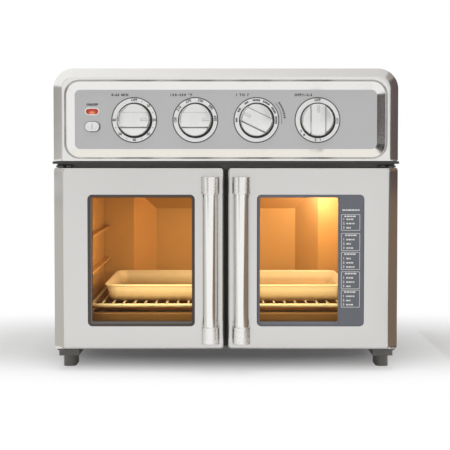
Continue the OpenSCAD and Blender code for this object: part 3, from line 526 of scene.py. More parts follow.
class Nodes:
    """Node tree that is built node by node."""

    def __init__(self, tree: bpy.types.NodeTree) -> None:
        """Empty the tree and keep it."""
        self.tree = tree
        self.tree.nodes.clear()

    def add(self, kind: str, sockets: dict[str | int, Any] | None = None, **settings: Any) -> bpy.types.Node:
        """Add a shader node.

        Args:
            kind: Type name of the node after the word ShaderNode.
            sockets: Value or source socket of each named input.
            settings: Settings of the node itself.

        Returns:
            The node.
        """
        node = self.tree.nodes.new(f"ShaderNode{kind}")
        for name, value in settings.items():
            setattr(node, name, value)
        for name, value in (sockets or {}).items():
            if isinstance(value, Socket):
                self.tree.links.new(value, node.inputs[name])
            else:
                node.inputs[name].default_value = value
        return node

    def math(self, operation: str, first: Any, second: Any, clamp: bool = False) -> Socket:
        """Return what an operation makes of two numbers or sockets."""
        pair = {0: first, 1: second}
        return self.add("Math", pair, operation=operation, use_clamp=clamp).outputs[0]

    def coords(self, kind: str = "Object") -> Socket:
        """Return a coordinate of the piece."""
        return self.add("TexCoord").outputs[kind]

    def along(self, vector: Socket, axis: str) -> Socket:
        """Return a vector's part along an axis."""
        return self.add("SeparateXYZ", {"Vector": vector}).outputs[axis]

    def noise(self, steps: Point | float, detail: float = 2.0) -> Socket:
        """Return a noise with the given steps per metre, along each axis of the piece or along all."""
        scale = steps if isinstance(steps, tuple) else grey(steps)
        spread = self.add("Mapping", {"Vector": self.coords(), "Scale": scale}).outputs["Vector"]
        return self.add("TexNoise", {"Vector": spread, "Scale": 1.0, "Detail": detail}).outputs[0]

    def remap(self, value: Socket, low: float, high: float, start: float = 0.3, end: float = 0.7,
              curve: str = "LINEAR") -> Socket:
        """Return the value carried from start and end to low and high."""
        sockets = {"Value": value, "From Min": start, "From Max": end, "To Min": low, "To Max": high}
        return self.add("MapRange", sockets, interpolation_type=curve).outputs["Result"]

    def mix(self, factor: Socket, low: Any, high: Any) -> Socket:
        """Return a colour between two colours or sockets."""
        sockets = {0: factor, 6: opaque(low), 7: opaque(high)}
        return self.add("Mix", sockets, data_type="RGBA").outputs[2]

    def bump(self, height: Socket, distance: float) -> Socket:
        """Return a normal that follows a height."""
        return self.add("Bump", {"Height": height, "Distance": distance}).outputs["Normal"]

    def principled(self, sockets: dict[str, Any]) -> Socket:
        """Return a principled shader with the given inputs."""
        return self.add("BsdfPrincipled", sockets).outputs[0]

    def emission(self, colour: Any) -> Socket:
        """Return a shader that shows a colour or socket as it is."""
        return self.add("Emission", {"Color": opaque(colour), "Strength": 1.0}).outputs[0]

    def blend(self, share: Socket, first: Socket, second: Socket) -> Socket:
        """Return a shader between two shaders."""
        return self.add("MixShader", {0: share, 1: first, 2: second}).outputs[0]

    def escaping(self) -> Socket:
        """Tell which rays leave by the glass after a bounce inside the oven.

        Returns:
            1 for such a ray and 0 for others.
        """
        path = self.add("LightPath").outputs
        bounces = self.math("ADD", path["Diffuse Depth"], path["Glossy Depth"])
        met = self.math("GREATER_THAN", bounces, 0.5)
        return self.math("MULTIPLY", met, path["Is Transmission Ray"])

    def surface(self, shader: Socket, output: str = "OutputMaterial") -> None:
        """Link a shader to the output."""
        self.add(output, {"Surface": shader})


def grey(level: float) -> Colour:
    """Return a number three times, as a neutral colour or an even scale."""
    return (level, level, level)


def opaque(colour: Any) -> Any:
    """Return a colour with its alpha, or a socket as it is."""
    return (*colour, 1.0) if isinstance(colour, tuple) else colour


def new_material(name: str) -> tuple[bpy.types.Material, Nodes]:
    """Return a new material and its empty node tree."""
    made = bpy.data.materials.new(name)
    made.use_nodes = True
    return made, Nodes(made.node_tree)


@dataclass(frozen=True)
class Finish:
    """Surface finish that becomes one node material.

    Attributes:
        name: Name of the material.
        tint: Linear red, green and blue.
        roughness: Middle roughness.
    """

    name: str
    tint: Colour
    roughness: float

    def shade(self, share: float) -> Colour:
        """Return the tint made lighter or darker by a share, within the range of a colour."""
        return tuple(min(1.0, channel * share) for channel in self.tint)

    def mottle(self, nodes: Nodes, pattern: Socket, low: float, high: float) -> Socket:
        """Return the tint, made between two shares lighter and darker by a pattern."""
        return nodes.mix(pattern, self.shade(low), self.shade(high))

    def material(self) -> bpy.types.Material:
        """Give the finish's material, made at its first use.

        Returns:
            The material.
        """
        found = bpy.data.materials.get(self.name)
        if found is None:
            found, nodes = new_material(self.name)
            found.diffuse_color = opaque(self.tint)
            nodes.surface(self.paint(nodes))
        return found

    def paint(self, nodes: Nodes) -> Socket:
        """Return the finish's shader."""
        raise NotImplementedError


@dataclass(frozen=True)
class Metal(Finish):
    """Polished, brushed or pressed metal.

    Attributes:
        grain: Way the polishing lines run.
        contrast: Share by which the lines are lighter and darker.
        spread: Roughness above and below the middle.
        relief: Depth of the lines.
        metal: Share of the surface that acts as metal.
        smudge: Noise steps per metre of the wide smudges.
    """

    grain: Grain = Grain.ACROSS
    contrast: float = 0.05
    spread: float = 0.05
    relief: float = 0.8e-6
    metal: float = 1.0
    smudge: float = 9.0

    def paint(self, nodes: Nodes) -> Socket:
        """Give lines of a stretched noise in colour, roughness and relief, with wide smudges.

        Args:
            nodes: Node tree of the material.

        Returns:
            The shader.
        """
        lines = nodes.noise(self.grain.value, 3.0)
        rough = nodes.remap(lines, self.roughness - self.spread, self.roughness + self.spread)
        wiped = nodes.remap(nodes.noise(self.smudge, 3.0), -0.02, 0.03)
        return nodes.principled({
            "Base Color": self.mottle(nodes, lines, 1 - self.contrast, 1 + self.contrast),
            "Metallic": self.metal,
            "Roughness": nodes.math("ADD", rough, wiped),
            "Normal": nodes.bump(lines, self.relief),
        })


@dataclass(frozen=True)
class HeatedSteel(Finish):
    """Plain sheet steel of the oven's inside, tinted by heat, and on the pan darker towards the bottom as
    painted shade.

    Attributes:
        heat_tint_and_shade: Colour of the heat tint in the clouds, and of the painted shade low on the pan.
        metal: Share of the surface that acts as metal.
        shade_heights: Height up to which the painted shade is full, and height where it has faded to the
            clouds.
        cloud: Noise steps per metre of the clouds.
        spangle: Noise steps per metre of the spangle.
        relief: Depth of the spangle.
    """

    heat_tint_and_shade: Colour = (0.35, 0.22, 0.10)
    metal: float = 0.6
    shade_heights: Span = (-2.0, -1.0)
    cloud: Point = (7.0, 7.0, 11.0)
    spangle: float = 160.0
    relief: float = 3e-6

    def paint(self, nodes: Nodes) -> Socket:
        """Give a sheet with a fine spangle under clouds of heat tint, darker towards the bottom as painted
        shade.

        Args:
            nodes: Node tree of the material.

        Returns:
            The shader.
        """
        clouds = nodes.remap(nodes.noise(self.cloud, 4.0), 0.0, 0.35, 0.45, 0.8)
        spangle = nodes.noise(self.spangle)
        height = nodes.along(nodes.coords(), "Z")
        # Below the shade heights the colour darkens towards the bottom: painted shade, not heat tint.
        tint = nodes.math("MAXIMUM", clouds, nodes.remap(height, 1.0, 0.0, *self.shade_heights))
        return nodes.principled({
            "Base Color": nodes.mix(tint, self.mottle(nodes, spangle, 0.92, 1.08), self.heat_tint_and_shade),
            "Metallic": self.metal,
            "Roughness": nodes.remap(spangle, self.roughness - 0.08, self.roughness + 0.1),
            "Normal": nodes.bump(spangle, self.relief),
        })


@dataclass(frozen=True)
class Moulded(Finish):
    """Moulded plastic, rubber, ceramic or paint.

    Attributes:
        pore: Noise steps per metre of the grain.
        relief: Depth of the grain.
        cloud: Noise steps per metre of the clouds in the colour.
    """

    pore: float = 900.0
    relief: float = 4e-6
    cloud: float = 14.0

    def paint(self, nodes: Nodes) -> Socket:
        """Give a fine grain in relief and roughness, with faint clouds in the colour.

        Args:
            nodes: Node tree of the material.

        Returns:
            The shader.
        """
        grain = nodes.noise(self.pore)
        return nodes.principled({
            "Base Color": self.mottle(nodes, nodes.noise(self.cloud, 3.0), 0.9, 1.1),
            "Roughness": nodes.remap(grain, self.roughness - 0.05, self.roughness + 0.07),
            "Normal": nodes.bump(grain, self.relief),
        })


@dataclass(frozen=True)
class Pane(Finish):
    """Clear glass that lets the lamps through.

    Attributes:
        painted_reflection: Grey glow, a painted reflection, that its front shows in other pieces' gloss.
        bend: Index of refraction, low because the pane has two close faces.
        smudge: Noise steps per metre of the smudges.
        shadow: Share of the tint that a shadow ray keeps.
    """

    painted_reflection: float = 0.42
    bend: float = 1.18
    smudge: float = 24.0
    shadow: float = 0.05

    def paint(self, nodes: Nodes) -> Socket:
        """Give smudged glass, plain to shadow rays, whose front glows grey in other pieces' gloss: painted
        reflection.

        Args:
            nodes: Node tree of the material.

        Returns:
            The shader.
        """
        glass = nodes.principled({
            "Base Color": opaque(self.tint),
            "Roughness": nodes.remap(nodes.noise(self.smudge, 3.0), 0.0, self.roughness, 0.4, 0.75),
            "Transmission Weight": 1.0,
            "IOR": self.bend,
        })
        clear = nodes.add("BsdfTransparent", {"Color": opaque(self.shade(self.shadow))}).outputs[0]
        path = nodes.add("LightPath").outputs
        seen = nodes.blend(path["Is Shadow Ray"], glass, clear)
        # Other pieces' gloss sees a grey glow on the front: a painted reflection.
        front = nodes.remap(nodes.along(nodes.coords("Normal"), "Y"), 1.0, 0.0, -0.9, -0.5)
        bounced = nodes.math("SUBTRACT", path["Is Glossy Ray"], path["Is Transmission Ray"], clamp=True)
        mirrored = nodes.math("MULTIPLY", bounced, front)
        return nodes.blend(mirrored, seen, nodes.emission(grey(self.painted_reflection)))


@dataclass(frozen=True)
class Glow(Finish):
    """Lit lens or bulb.

    Attributes:
        strength: Strength of the light that it gives off.
        core: Colour in the bright middle.
        middle: Place of the bright middle.
        reach: Half lengths of the bright middle along X, Y and Z.
        rib: Noise steps per metre of the ribs.
    """

    strength: float = 1.0
    core: Colour = (1.0, 0.9, 0.7)
    middle: Point = (0.0, 0.0, 0.0)
    reach: Point = (1.0, 1.0, 1.0)
    rib: Point = (700.0, 300.0, 300.0)

    def paint(self, nodes: Nodes) -> Socket:
        """Give a ribbed colour that shines by itself, brighter towards its middle.

        Args:
            nodes: Node tree of the material.

        Returns:
            The shader.
        """
        ribs = nodes.noise(self.rib, 1.0)
        place = {"Vector": nodes.coords(), "Location": self.middle, "Scale": self.reach}
        local = nodes.add("Mapping", place, vector_type="TEXTURE").outputs["Vector"]
        ball = nodes.add("TexGradient", {"Vector": local}, gradient_type="QUADRATIC_SPHERE")
        lit = nodes.mix(ball.outputs[1], self.mottle(nodes, ribs, 0.75, 1.2), self.core)
        return nodes.principled({
            "Base Color": lit,
            "Roughness": nodes.remap(ribs, self.roughness, self.roughness + 0.1),
            "Emission Color": lit,
            "Emission Strength": self.strength,
        })


STAINLESS = Metal("stainless_brushed", (0.84, 0.832, 0.815), 0.19, contrast=0.02, spread=0.02, relief=0.3e-6)
DOOR_STEEL = Metal("door_steel_satin", (0.68, 0.673, 0.658), 0.17, Grain.FINE, 0.008, 0.012, 0.1e-6)
PANEL_STEEL = Metal("panel_steel_satin", (0.56, 0.56, 0.565), 0.36, Grain.FINE, 0.01, 0.02, 0.2e-6, 0.7)
CASE_STEEL = Metal("case_steel_brushed", (0.62, 0.615, 0.60), 0.42, Grain.DEEP, 0.025, 0.04, 0.2e-6)
FRAME_STEEL = Metal("frame_steel_plain", (0.16, 0.155, 0.15), 0.38)
CHROME = Metal("handle_chrome_satin", (0.90, 0.89, 0.87), 0.13, Grain.UPRIGHT, 0.02, 0.02, 0.2e-6)
POST_STEEL = Metal("handle_post_satin", (0.90, 0.89, 0.87), 0.26, Grain.EVEN, 0.02, 0.02, 0.2e-6)
KNOB_SILVER = Metal("knob_silver_satin", (0.80, 0.80, 0.795), 0.22, Grain.EVEN, 0.004, 0.01, 0.03e-6)
# Grey of the band round a knob's pointer line: painted shade.
POINTER_SHADE = Metal("pointer_bed_satin", (0.6, 0.6, 0.6), 0.3, Grain.EVEN, 0.01, 0.02, 0.1e-6)
DIAL_SILVER = Metal("dial_silver_spun", (0.86, 0.86, 0.85), 0.36, Grain.EVEN, 0.01, 0.02, 0.1e-6, 0.8)
RACK_CHROME = Metal("rack_chrome_bright", (0.80, 0.76, 0.68), 0.2, Grain.EVEN, metal=0.4)
SCREW_STEEL = Metal("screw_steel_bright", (0.55, 0.55, 0.55), 0.3, Grain.EVEN)
FAN_ALUMINIUM = Metal("fan_aluminium_pressed", (0.72, 0.72, 0.72), 0.35, Grain.EVEN)
CAVITY_STEEL = HeatedSteel("cavity_steel_heated", (0.52, 0.30, 0.13), 0.42, metal=0.35)
# The pan's darkening towards the bottom of its wall is painted shade.
PAN_STEEL = HeatedSteel(
    "pan_steel_heated", (0.68, 0.60, 0.53), 0.42, (0.36, 0.26, 0.16), 0.3, (0.079, 0.091),
)
LINER_STEEL = HeatedSteel("liner_dark_steel", (0.10, 0.085, 0.075), 0.4, heat_tint_and_shade=(0.06, 0.045, 0.03))
ELEMENT_STEEL = HeatedSteel("element_steel_burnt", (0.20, 0.18, 0.16), 0.45, metal=0.8)
MOTOR_STEEL = HeatedSteel("motor_steel_plain", (0.40, 0.40, 0.40), 0.45, metal=0.8)
BLACK_TRIM = Moulded("trim_black", (0.035, 0.033, 0.031), 0.38)
GASKET_RUBBER = Moulded("gasket_rubber", (0.055, 0.053, 0.05), 0.6)
FOOT_RUBBER = Moulded("foot_rubber", (0.23, 0.218, 0.203), 0.62, pore=600.0, relief=1.2e-5)
CONTROL_BODY = Moulded("control_body_plastic", (0.22, 0.19, 0.15), 0.5)
CERAMIC = Moulded("bush_ceramic", (0.78, 0.76, 0.71), 0.35)
BEZEL_LEFT = Moulded("bezel_warm_black", (0.075, 0.055, 0.043), 0.34)
BEZEL_RIGHT = Moulded("bezel_slate", (0.15, 0.158, 0.185), 0.36)
INK_DARK = Moulded("ink_dark", (0.055, 0.055, 0.06), 0.55)
# Grey of the painted shade lines on the knobs and of the button's crease.
SHADE_GREY = Moulded("ink_grey", (0.20, 0.20, 0.21), 0.55)
INK_WHITE = Moulded("ink_white", (0.82, 0.82, 0.80), 0.5)
# Near-black ring round each knob: the real gap and the knob's painted shade.
GAP_SHADE_BLACK = Moulded("knob_well_black", (0.012, 0.012, 0.012), 0.5)
LENS_RIM = Moulded("lens_rim_pale", (0.93, 0.89, 0.86), 0.3)
LENS_RED = Glow("lens_red_dull", (0.30, 0.018, 0.01), 0.2, strength=0.7, core=(1.0, 0.50, 0.22))
BULB_WARM = Glow("bulb_warm", (1.0, 0.72, 0.36), 0.2, strength=6.0, core=(1.0, 0.72, 0.36))
WINDOW_GLASS = Pane("window_glass_clear", (0.84, 0.77, 0.64), 0.03)
LAMP_GLASS = Pane("lamp_glass_clear", (0.98, 0.95, 0.88), 0.05)

NODES_IN: tuple[tuple[Finish, str], ...] = (
    (STAINLESS, "header_fascia"),
    (DOOR_STEEL, "left_door_skin right_door_skin"),
    (PANEL_STEEL, "control_panel"),
    (CASE_STEEL, "outer_wrap rear_cover"),
    (FRAME_STEEL, "base_plate front_frame hinge_plates"),
    (CHROME, "left_handle_tube right_handle_tube"),
    (POST_STEEL, "left_handle_posts right_handle_posts"),
    (KNOB_SILVER, "timer_knob temperature_knob function_knob shade_knob light_button"),
    (DIAL_SILVER, "dial_plates"),
    (RACK_CHROME, "wire_rack"),
    (SCREW_STEEL, "case_screws hinge_pins"),
    (SCREW_STEEL, "timer_spindle temperature_spindle function_spindle shade_spindle"),
    (FAN_ALUMINIUM, "fan_impeller"),
    (CAVITY_STEEL, "cavity_side_left cavity_side_right cavity_ceiling cavity_floor cavity_back"),
    (CAVITY_STEEL, "fan_guard crumb_tray"),
    (PAN_STEEL, "baking_pan"),
    (LINER_STEEL, "left_door_liner right_door_liner"),
    (ELEMENT_STEEL, "upper_elements lower_elements"),
    (MOTOR_STEEL, "fan_motor"),
    (BLACK_TRIM, "trim_strip cord_gland door_catches"),
    (FOOT_RUBBER, "front_feet rear_feet"),
    (CONTROL_BODY, "timer_control temperature_control function_switch shade_control switch_housing"),
    (CERAMIC, "element_bushes lamp_socket"),
    (BEZEL_LEFT, "left_window_bezel"),
    (BEZEL_RIGHT, "right_window_bezel"),
    (LENS_RED, "indicator_lens"),
    (BULB_WARM, "lamp_bulb"),
    (WINDOW_GLASS, "left_window_glass right_window_glass"),
    (LAMP_GLASS, "lamp_cover"),
)


def add_piece(name: str, shell: Shell, finish: Finish, body: str, slot: str, *stands_for: str,
              crease: float = 38.0) -> None:
    """Make a mesh piece that rides on a body.

    Args:
        name: Name of the piece.
        shell: Its surface, in place.
        finish: Its finish.
        body: Body that carries it.
        slot: Material slot of the record; not used.
        stands_for: Frame nodes that it stands for.
        crease: Angle in degrees past which an edge stays sharp.
    """
    mesh = shell.mesh(name)
    mesh.shade_smooth()
    mesh.set_sharp_from_angle(angle=math.radians(crease))
    mesh.materials.append(finish.material())
    piece = placed(name, mesh)
    even = piece.modifiers.new("area_normals", "WEIGHTED_NORMAL")
    even.keep_sharp = True
    even.weight = 60
    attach(piece, body)
    if stands_for:
        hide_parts(*stands_for)
    LOG.info("%s rides on %s with %d faces", name, body, len(mesh.polygons))


@dataclass
class Frame:
    """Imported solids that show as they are, in their finishes.

    Attributes:
        nodes: Frame objects by name.
        softened: Nodes that show from outside and get broken edges.
        soft_edge: Width of the broken edges.
        sharp: Angle in degrees past which an edge is broken.
        joint: Distance within which the loose corners of a node are one.
    """

    nodes: dict[str, bpy.types.Object]
    softened: tuple[str, ...] = ("front_feet", "rear_feet", "cord_gland", "hinge_plates", "crumb_tray")
    soft_edge: float = 0.35 * MM
    sharp: float = 40.0
    joint: float = 0.01 * MM

    def build(self) -> None:
        """Give every node its finish, and broken edges to those that show from outside."""
        for finish, names in NODES_IN:
            for name in names.split():
                materials = self.nodes[name].data.materials
                materials.clear()
                materials.append(finish.material())
                LOG.info("%s wears %s", name, finish.name)
        for name in self.softened:
            weld = self.nodes[name].modifiers.new("joined", "WELD")
            weld.merge_threshold = self.joint
            edge = self.nodes[name].modifiers.new("broken_edges", "BEVEL")
            edge.width = self.soft_edge
            edge.segments = 2
            edge.limit_method = "ANGLE"
            edge.angle_limit = math.radians(self.sharp)


@dataclass
class Header:
    """Pressed header round the recessed control panel.

    Attributes:
        corner: Radius of the two top corners.
        edge: Width of the outer bevel.
        edge_depth: Depth of the outer bevel.
        edge_power: Power of the bevel's curve: 1 is a chamfer and 2 is round.
        foot_round: Radius of the lower front edge.
        rim: Width of the flat rim inside the bevel.
        sill: Width of the flat rim along the bottom.
        lip: Width of the step inside the rim.
        lip_depth: Depth of the step.
        slope: Width of the whole surround of the panel, step included.
        depth: Depth of the panel behind the rim.
        pocket: Corner radius of the surround at the rim.
        wall: Thickness of the sheet.
        back_in: How far the sheet's back lies inwards of the slope's end and of the step's end.
        back_deep: How far it lies behind them.
        back_rim: Depth of the sheet's back behind the rim.
        back_edge: How far that back stays inside the bevel.
        back_corner: Corner radius of the sheet's back at the bottom.
    """

    corner: float = 24 * MM
    edge: float = 10.8 * MM
    edge_depth: float = 9 * MM
    edge_power: float = 1.1
    foot_round: float = 1.8 * MM
    rim: float = 2.2 * MM
    sill: float = 2.4 * MM
    lip: float = 2.8 * MM
    lip_depth: float = 4.2 * MM
    slope: float = 12.0 * MM
    depth: float = 8 * MM
    pocket: float = 18.5 * MM
    wall: float = 0.7 * MM
    back_in: Span = (-1.2 * MM, 0.6 * MM)
    back_deep: Span = (0.0, 1.7 * MM)
    back_rim: float = 2.2 * MM
    back_edge: float = 2 * MM
    back_corner: float = 1 * MM

    def build(self) -> None:
        """Loft the pressed surround as a closed loop of rounded rectangles.

        Across the sides and the top the bevel is a rounded edge of the power 2 / edge_power. A smooth step
        leads from the rim into the pocket, then a straight slope runs down to the panel. The last rings run
        back inside.
        """
        box = Bounds.of("header_fascia")
        reach = box.hi[1] - box.lo[1]
        bevel_in, bevel_back = rounded(10, self.edge, self.edge_depth, 2 / self.edge_power)
        soft_in, soft_back = rounded(10, self.foot_round, self.foot_round)
        step, run = np.linspace(0, 1, 9), np.linspace(0, 1, 5)[1:]
        inner_in = np.concatenate([
            self.lip * step,
            self.lip + (self.slope - self.lip) * run,
            np.array([self.slope, self.lip]) + self.back_in,
        ])
        inner_back = np.concatenate([
            self.lip_depth * step ** 2 * (3 - 2 * step),
            self.lip_depth + (self.depth - self.lip_depth) * run,
            np.array([self.depth, self.lip_depth]) + self.back_deep,
            [self.back_rim, self.edge_depth + MM, reach],
        ])
        side_in = np.concatenate([
            [0], bevel_in, self.edge + self.rim + inner_in,
            [self.edge - self.back_edge, self.wall, self.wall],
        ])
        foot_in = np.concatenate([[0], soft_in, self.sill + inner_in, [self.sill, self.wall, self.wall]])
        side_back = np.concatenate([[reach], bevel_back, inner_back])
        foot_back = np.concatenate([[reach], soft_back, inner_back])
        outer, pocket_r = 1 + len(bevel_in), self.pocket - inner_in
        top_r = np.concatenate([self.corner - side_in[:outer], pocket_r, self.corner - side_in[-3:]])
        low_r = np.concatenate([np.full(outer, self.foot_round), pocket_r, np.full(3, self.back_corner)])
        left, right, low, top = box.sides
        sides = np.stack([left + side_in, right - side_in, low + foot_in, top - side_in], axis=1)
        depths = box.lo[1] + np.stack([side_back, side_back, side_back, foot_back], axis=1)
        rings = ring_stack(sides, np.stack([top_r, top_r, low_r, low_r], axis=1), depths, steps=12)
        add_piece("header_shell", skin(rings, loop=True), STAINLESS, "case", "stainless", "header_fascia")


@dataclass
class Dials:
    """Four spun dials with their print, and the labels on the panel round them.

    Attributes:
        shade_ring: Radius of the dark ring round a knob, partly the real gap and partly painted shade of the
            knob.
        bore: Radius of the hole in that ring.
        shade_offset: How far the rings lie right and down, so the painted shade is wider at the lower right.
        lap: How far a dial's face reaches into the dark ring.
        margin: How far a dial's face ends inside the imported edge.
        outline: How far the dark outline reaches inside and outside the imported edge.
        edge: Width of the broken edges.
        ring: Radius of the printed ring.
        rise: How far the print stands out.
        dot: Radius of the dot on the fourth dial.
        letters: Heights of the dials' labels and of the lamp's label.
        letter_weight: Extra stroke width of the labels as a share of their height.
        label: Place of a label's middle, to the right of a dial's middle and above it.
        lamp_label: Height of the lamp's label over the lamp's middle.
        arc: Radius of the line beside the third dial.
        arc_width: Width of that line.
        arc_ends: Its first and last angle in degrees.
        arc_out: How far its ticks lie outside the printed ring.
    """

    shade_ring: float = 21 * MM
    bore: float = 5 * MM
    shade_offset: float = 0.45 * MM
    lap: float = 1 * MM
    margin: float = 0.6 * MM
    outline: Span = (0.7 * MM, 0.4 * MM)
    edge: float = 0.2 * MM
    ring: float = 23.5 * MM
    rise: float = 0.12 * MM
    dot: float = 1.2 * MM
    letters: Span = (2.7 * MM, 2.6 * MM)
    letter_weight: float = 0.08
    label: Span = (-16.8 * MM, 29.4 * MM)
    lamp_label: float = 8 * MM
    arc: float = 30 * MM
    arc_width: float = 0.5 * MM
    arc_ends: Span = (48.0, 98.0)
    arc_out: float = 10 * MM

    def build(self) -> None:
        """Build the dials, their print and the labels."""
        self.build_faces()
        self.build_marks()
        self.build_labels()

    def build_faces(self) -> None:
        """Revolve each dial's face, its dark outline, and round the knob a dark ring of gap and painted
        shade.
        """
        plates = Bounds.of("dial_plates")
        radius, lift = (plates.hi[2] - plates.lo[2]) / 2, plates.hi[1] - plates.lo[1]
        inside, outside = self.outline
        top = lift + self.edge / 2
        face = band(self.shade_ring - self.lap, radius - self.margin, lift, (self.edge, self.edge / 2))
        line = band(radius - inside, radius + outside, lift + self.edge, (self.edge, self.edge))
        # The dark ring is partly the real gap and partly painted shade, set off to the lower right.
        dark = np.array([[self.bore, 0], [self.bore, top], [self.shade_ring, top], [self.shade_ring, 0]])
        feet = self.middles(plates.hi[1])
        shaded = [foot + [self.shade_offset, 0, -self.shade_offset] for foot in feet]
        rings = (
            ("dial_faces", face, feet, DIAL_SILVER, ("dial_plates",)),
            ("dial_outlines", line, feet, INK_DARK, ()),
            ("dial_wells", dark, shaded, GAP_SHADE_BLACK, ()),
        )
        for name, profile, spots, finish, stands in rings:
            shells = [revolve(profile, spot, loop=True) for spot in spots]
            add_piece(name, joined(shells), finish, "case", "dial_print", *stands)

    @staticmethod
    def middles(level: float) -> list[Array]:
        """Return the middle of each dial at a Y, from left to right."""
        return [np.array([x, level, z]) for x, _, z in KnobRow.centres()]

    def on_ring(self, middle: Array, angle: float) -> Array:
        """Return the point on a dial's printed ring at a clockwise angle from straight up."""
        way = math.radians(angle)
        return middle + self.ring * np.array([math.sin(way), 0, math.cos(way)])

    def tick(self, middle: Array, angle: float, width: float, high: float, out: float = 0.0) -> Shell:
        """Return a short bar, sized in millimetres, across a dial's printed ring or outside it."""
        x, y, z = middle + [0, 0, self.ring + out]
        sides = centred(x, z, width / 2 * MM, high / 2 * MM)
        return raised_bar(sides, y, self.rise, FINE_ROUND, angle, middle)

    def build_marks(self) -> None:
        """Put plain numbers and ticks on the dials.

        A word is its dial, its characters, their height in millimetres, its angle on the printed ring and
        its own turn. A tick is its dial, its angle, its width and its height.
        """
        timer, heat, function, shade = self.middles(Bounds.of("dial_plates").lo[1])
        words = [(timer, "OFF", 3.0, 0, 0), (shade, "OFF", 3.0, 0, 0)]
        words += [(timer, str(10 * i), 3.0, 45 * i, 0) for i in range(1, 7)]
        words += [(heat, str(150 + 60 * i), 3.1, 35 * i - 90, 35 * i - 90) for i in range(6)]
        words += [(shade, word, 2.8, angle, 0) for word, angle in (("1", 172), ("2", 186), ("3", 236))]
        ticks = [(timer, 45 * i - 22.5, 0.5, 2.2) for i in range(1, 7)]
        for i in range(7):
            reach = 2 if i > 2 else 1
            group = range(-reach, reach + 1)
            ticks += [(function, 30 * i - 90 + 4.4 * k, 1.4, 2.7 - 0.5 * ((i + k) % 2)) for k in group]
        ticks += [(shade, 92 + 3.5 * k, 0.7, 3.0) for k in range(-2, 3)]
        marks = [
            lettering(word, high * MM, self.on_ring(middle, angle), turn)
            for middle, word, high, angle, turn in words
        ]
        marks += [self.tick(*tick) for tick in ticks]
        dot = np.array([[self.dot, 0], [self.dot, self.rise]])
        marks.append(revolve(dot, self.on_ring(shade, 222), steps=24))
        add_piece("dial_marks", joined(marks), INK_DARK, "case", "dial_print")

    def build_labels(self) -> None:
        """Put a label over each dial and the lamp, and a line with ticks beside the third dial."""
        panel = Bounds.of("control_panel").lo[1]
        spots = self.middles(panel)
        labels = [arc_line(spots[2], self.arc, self.arc_width, *self.arc_ends, panel, self.rise)]
        for k in range(9):
            labels.append(self.tick(spots[2], 53 + 4 * k, 1.5, 2.4 - 0.5 * (k % 2), self.arc_out))
        words = (("0-60 MIN", 1.35), ("150-450 °F", 1.5), ("1 TO 7", 1.4), ("OFF/1-2-3", 1.3))
        (right, up), (high, lamp_high) = self.label, self.letters
        for spot, (word, spacing) in zip(spots, words):
            place = spot + [right, 0, up]
            labels.append(lettering(word, high, place, weight=self.letter_weight, spacing=spacing))
        x, _, z = Bounds.of("indicator_lens").middle
        place = np.array([x, panel, z + self.lamp_label])
        labels.append(lettering("ON/OFF", lamp_high, place, weight=self.letter_weight))
        add_piece("panel_labels", joined(labels), INK_DARK, "case", "dial_print")


@dataclass
class PanelLamp:
    """Red lamp on the panel: a domed lens in a pale rim.

    Attributes:
        grow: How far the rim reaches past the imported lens.
        border: Width of the rim.
        rim_in: Insets of the rim's two rings between its edges.
        rim_high: Heights of the rim's rings, from outside to inside.
        wall: Height of the lens's upright edge.
        dome: Height of the dome over that edge.
        dome_in: Share of the lens's half height that the dome's curve takes.
        drop: How far the bright middle lies below the lens's middle.
        reach: Half lengths of the bright middle along X, Y and Z.
    """

    grow: float = 0.9 * MM
    border: float = 1.6 * MM
    rim_in: Span = (0.4 * MM, 1.3 * MM)
    rim_high: tuple[float, ...] = (0.0, 0.7 * MM, 1.0 * MM, 0.9 * MM, 0.6 * MM, 0.0)
    wall: float = 0.4 * MM
    dome: float = 0.9 * MM
    dome_in: float = 0.85
    drop: float = 1.6 * MM
    reach: Point = (6.6 * MM, 9 * MM, 4 * MM)

    def build(self) -> None:
        """Dome the lens in rings whose inset and height follow a quarter circle, and loft its rim."""
        box, panel = Bounds.of("indicator_lens"), Bounds.of("control_panel").lo[1]
        outer = inset(box.sides, -self.grow)[0]
        lens = inset(outer, self.border)[0]
        half = (lens[3] - lens[2]) / 2
        dome_in, dome_back = rounded(8, self.dome_in * half, self.dome)
        inward, rise = np.append(0, dome_in), np.append(0, self.wall + self.dome - dome_back)
        rings = ring_stack(inset(lens, inward), (half - inward)[:, None], panel - rise[:, None], steps=10)
        bright = tuple(box.middle - [0, 0, self.drop])
        lit = replace(LENS_RED, name="lens_red_lit", middle=bright, reach=self.reach)
        add_piece("lamp_dome", skin(rings, caps=True), lit, "case", "lens_red", "indicator_lens")
        inward = np.array([0, 0, *self.rim_in, self.border, self.border])
        radii = (half + self.border - inward)[:, None]
        rings = ring_stack(inset(outer, inward), radii, panel - np.array(self.rim_high)[:, None], steps=10)
        add_piece("lamp_rim", skin(rings, loop=True), LENS_RIM, "case", "lens_red")


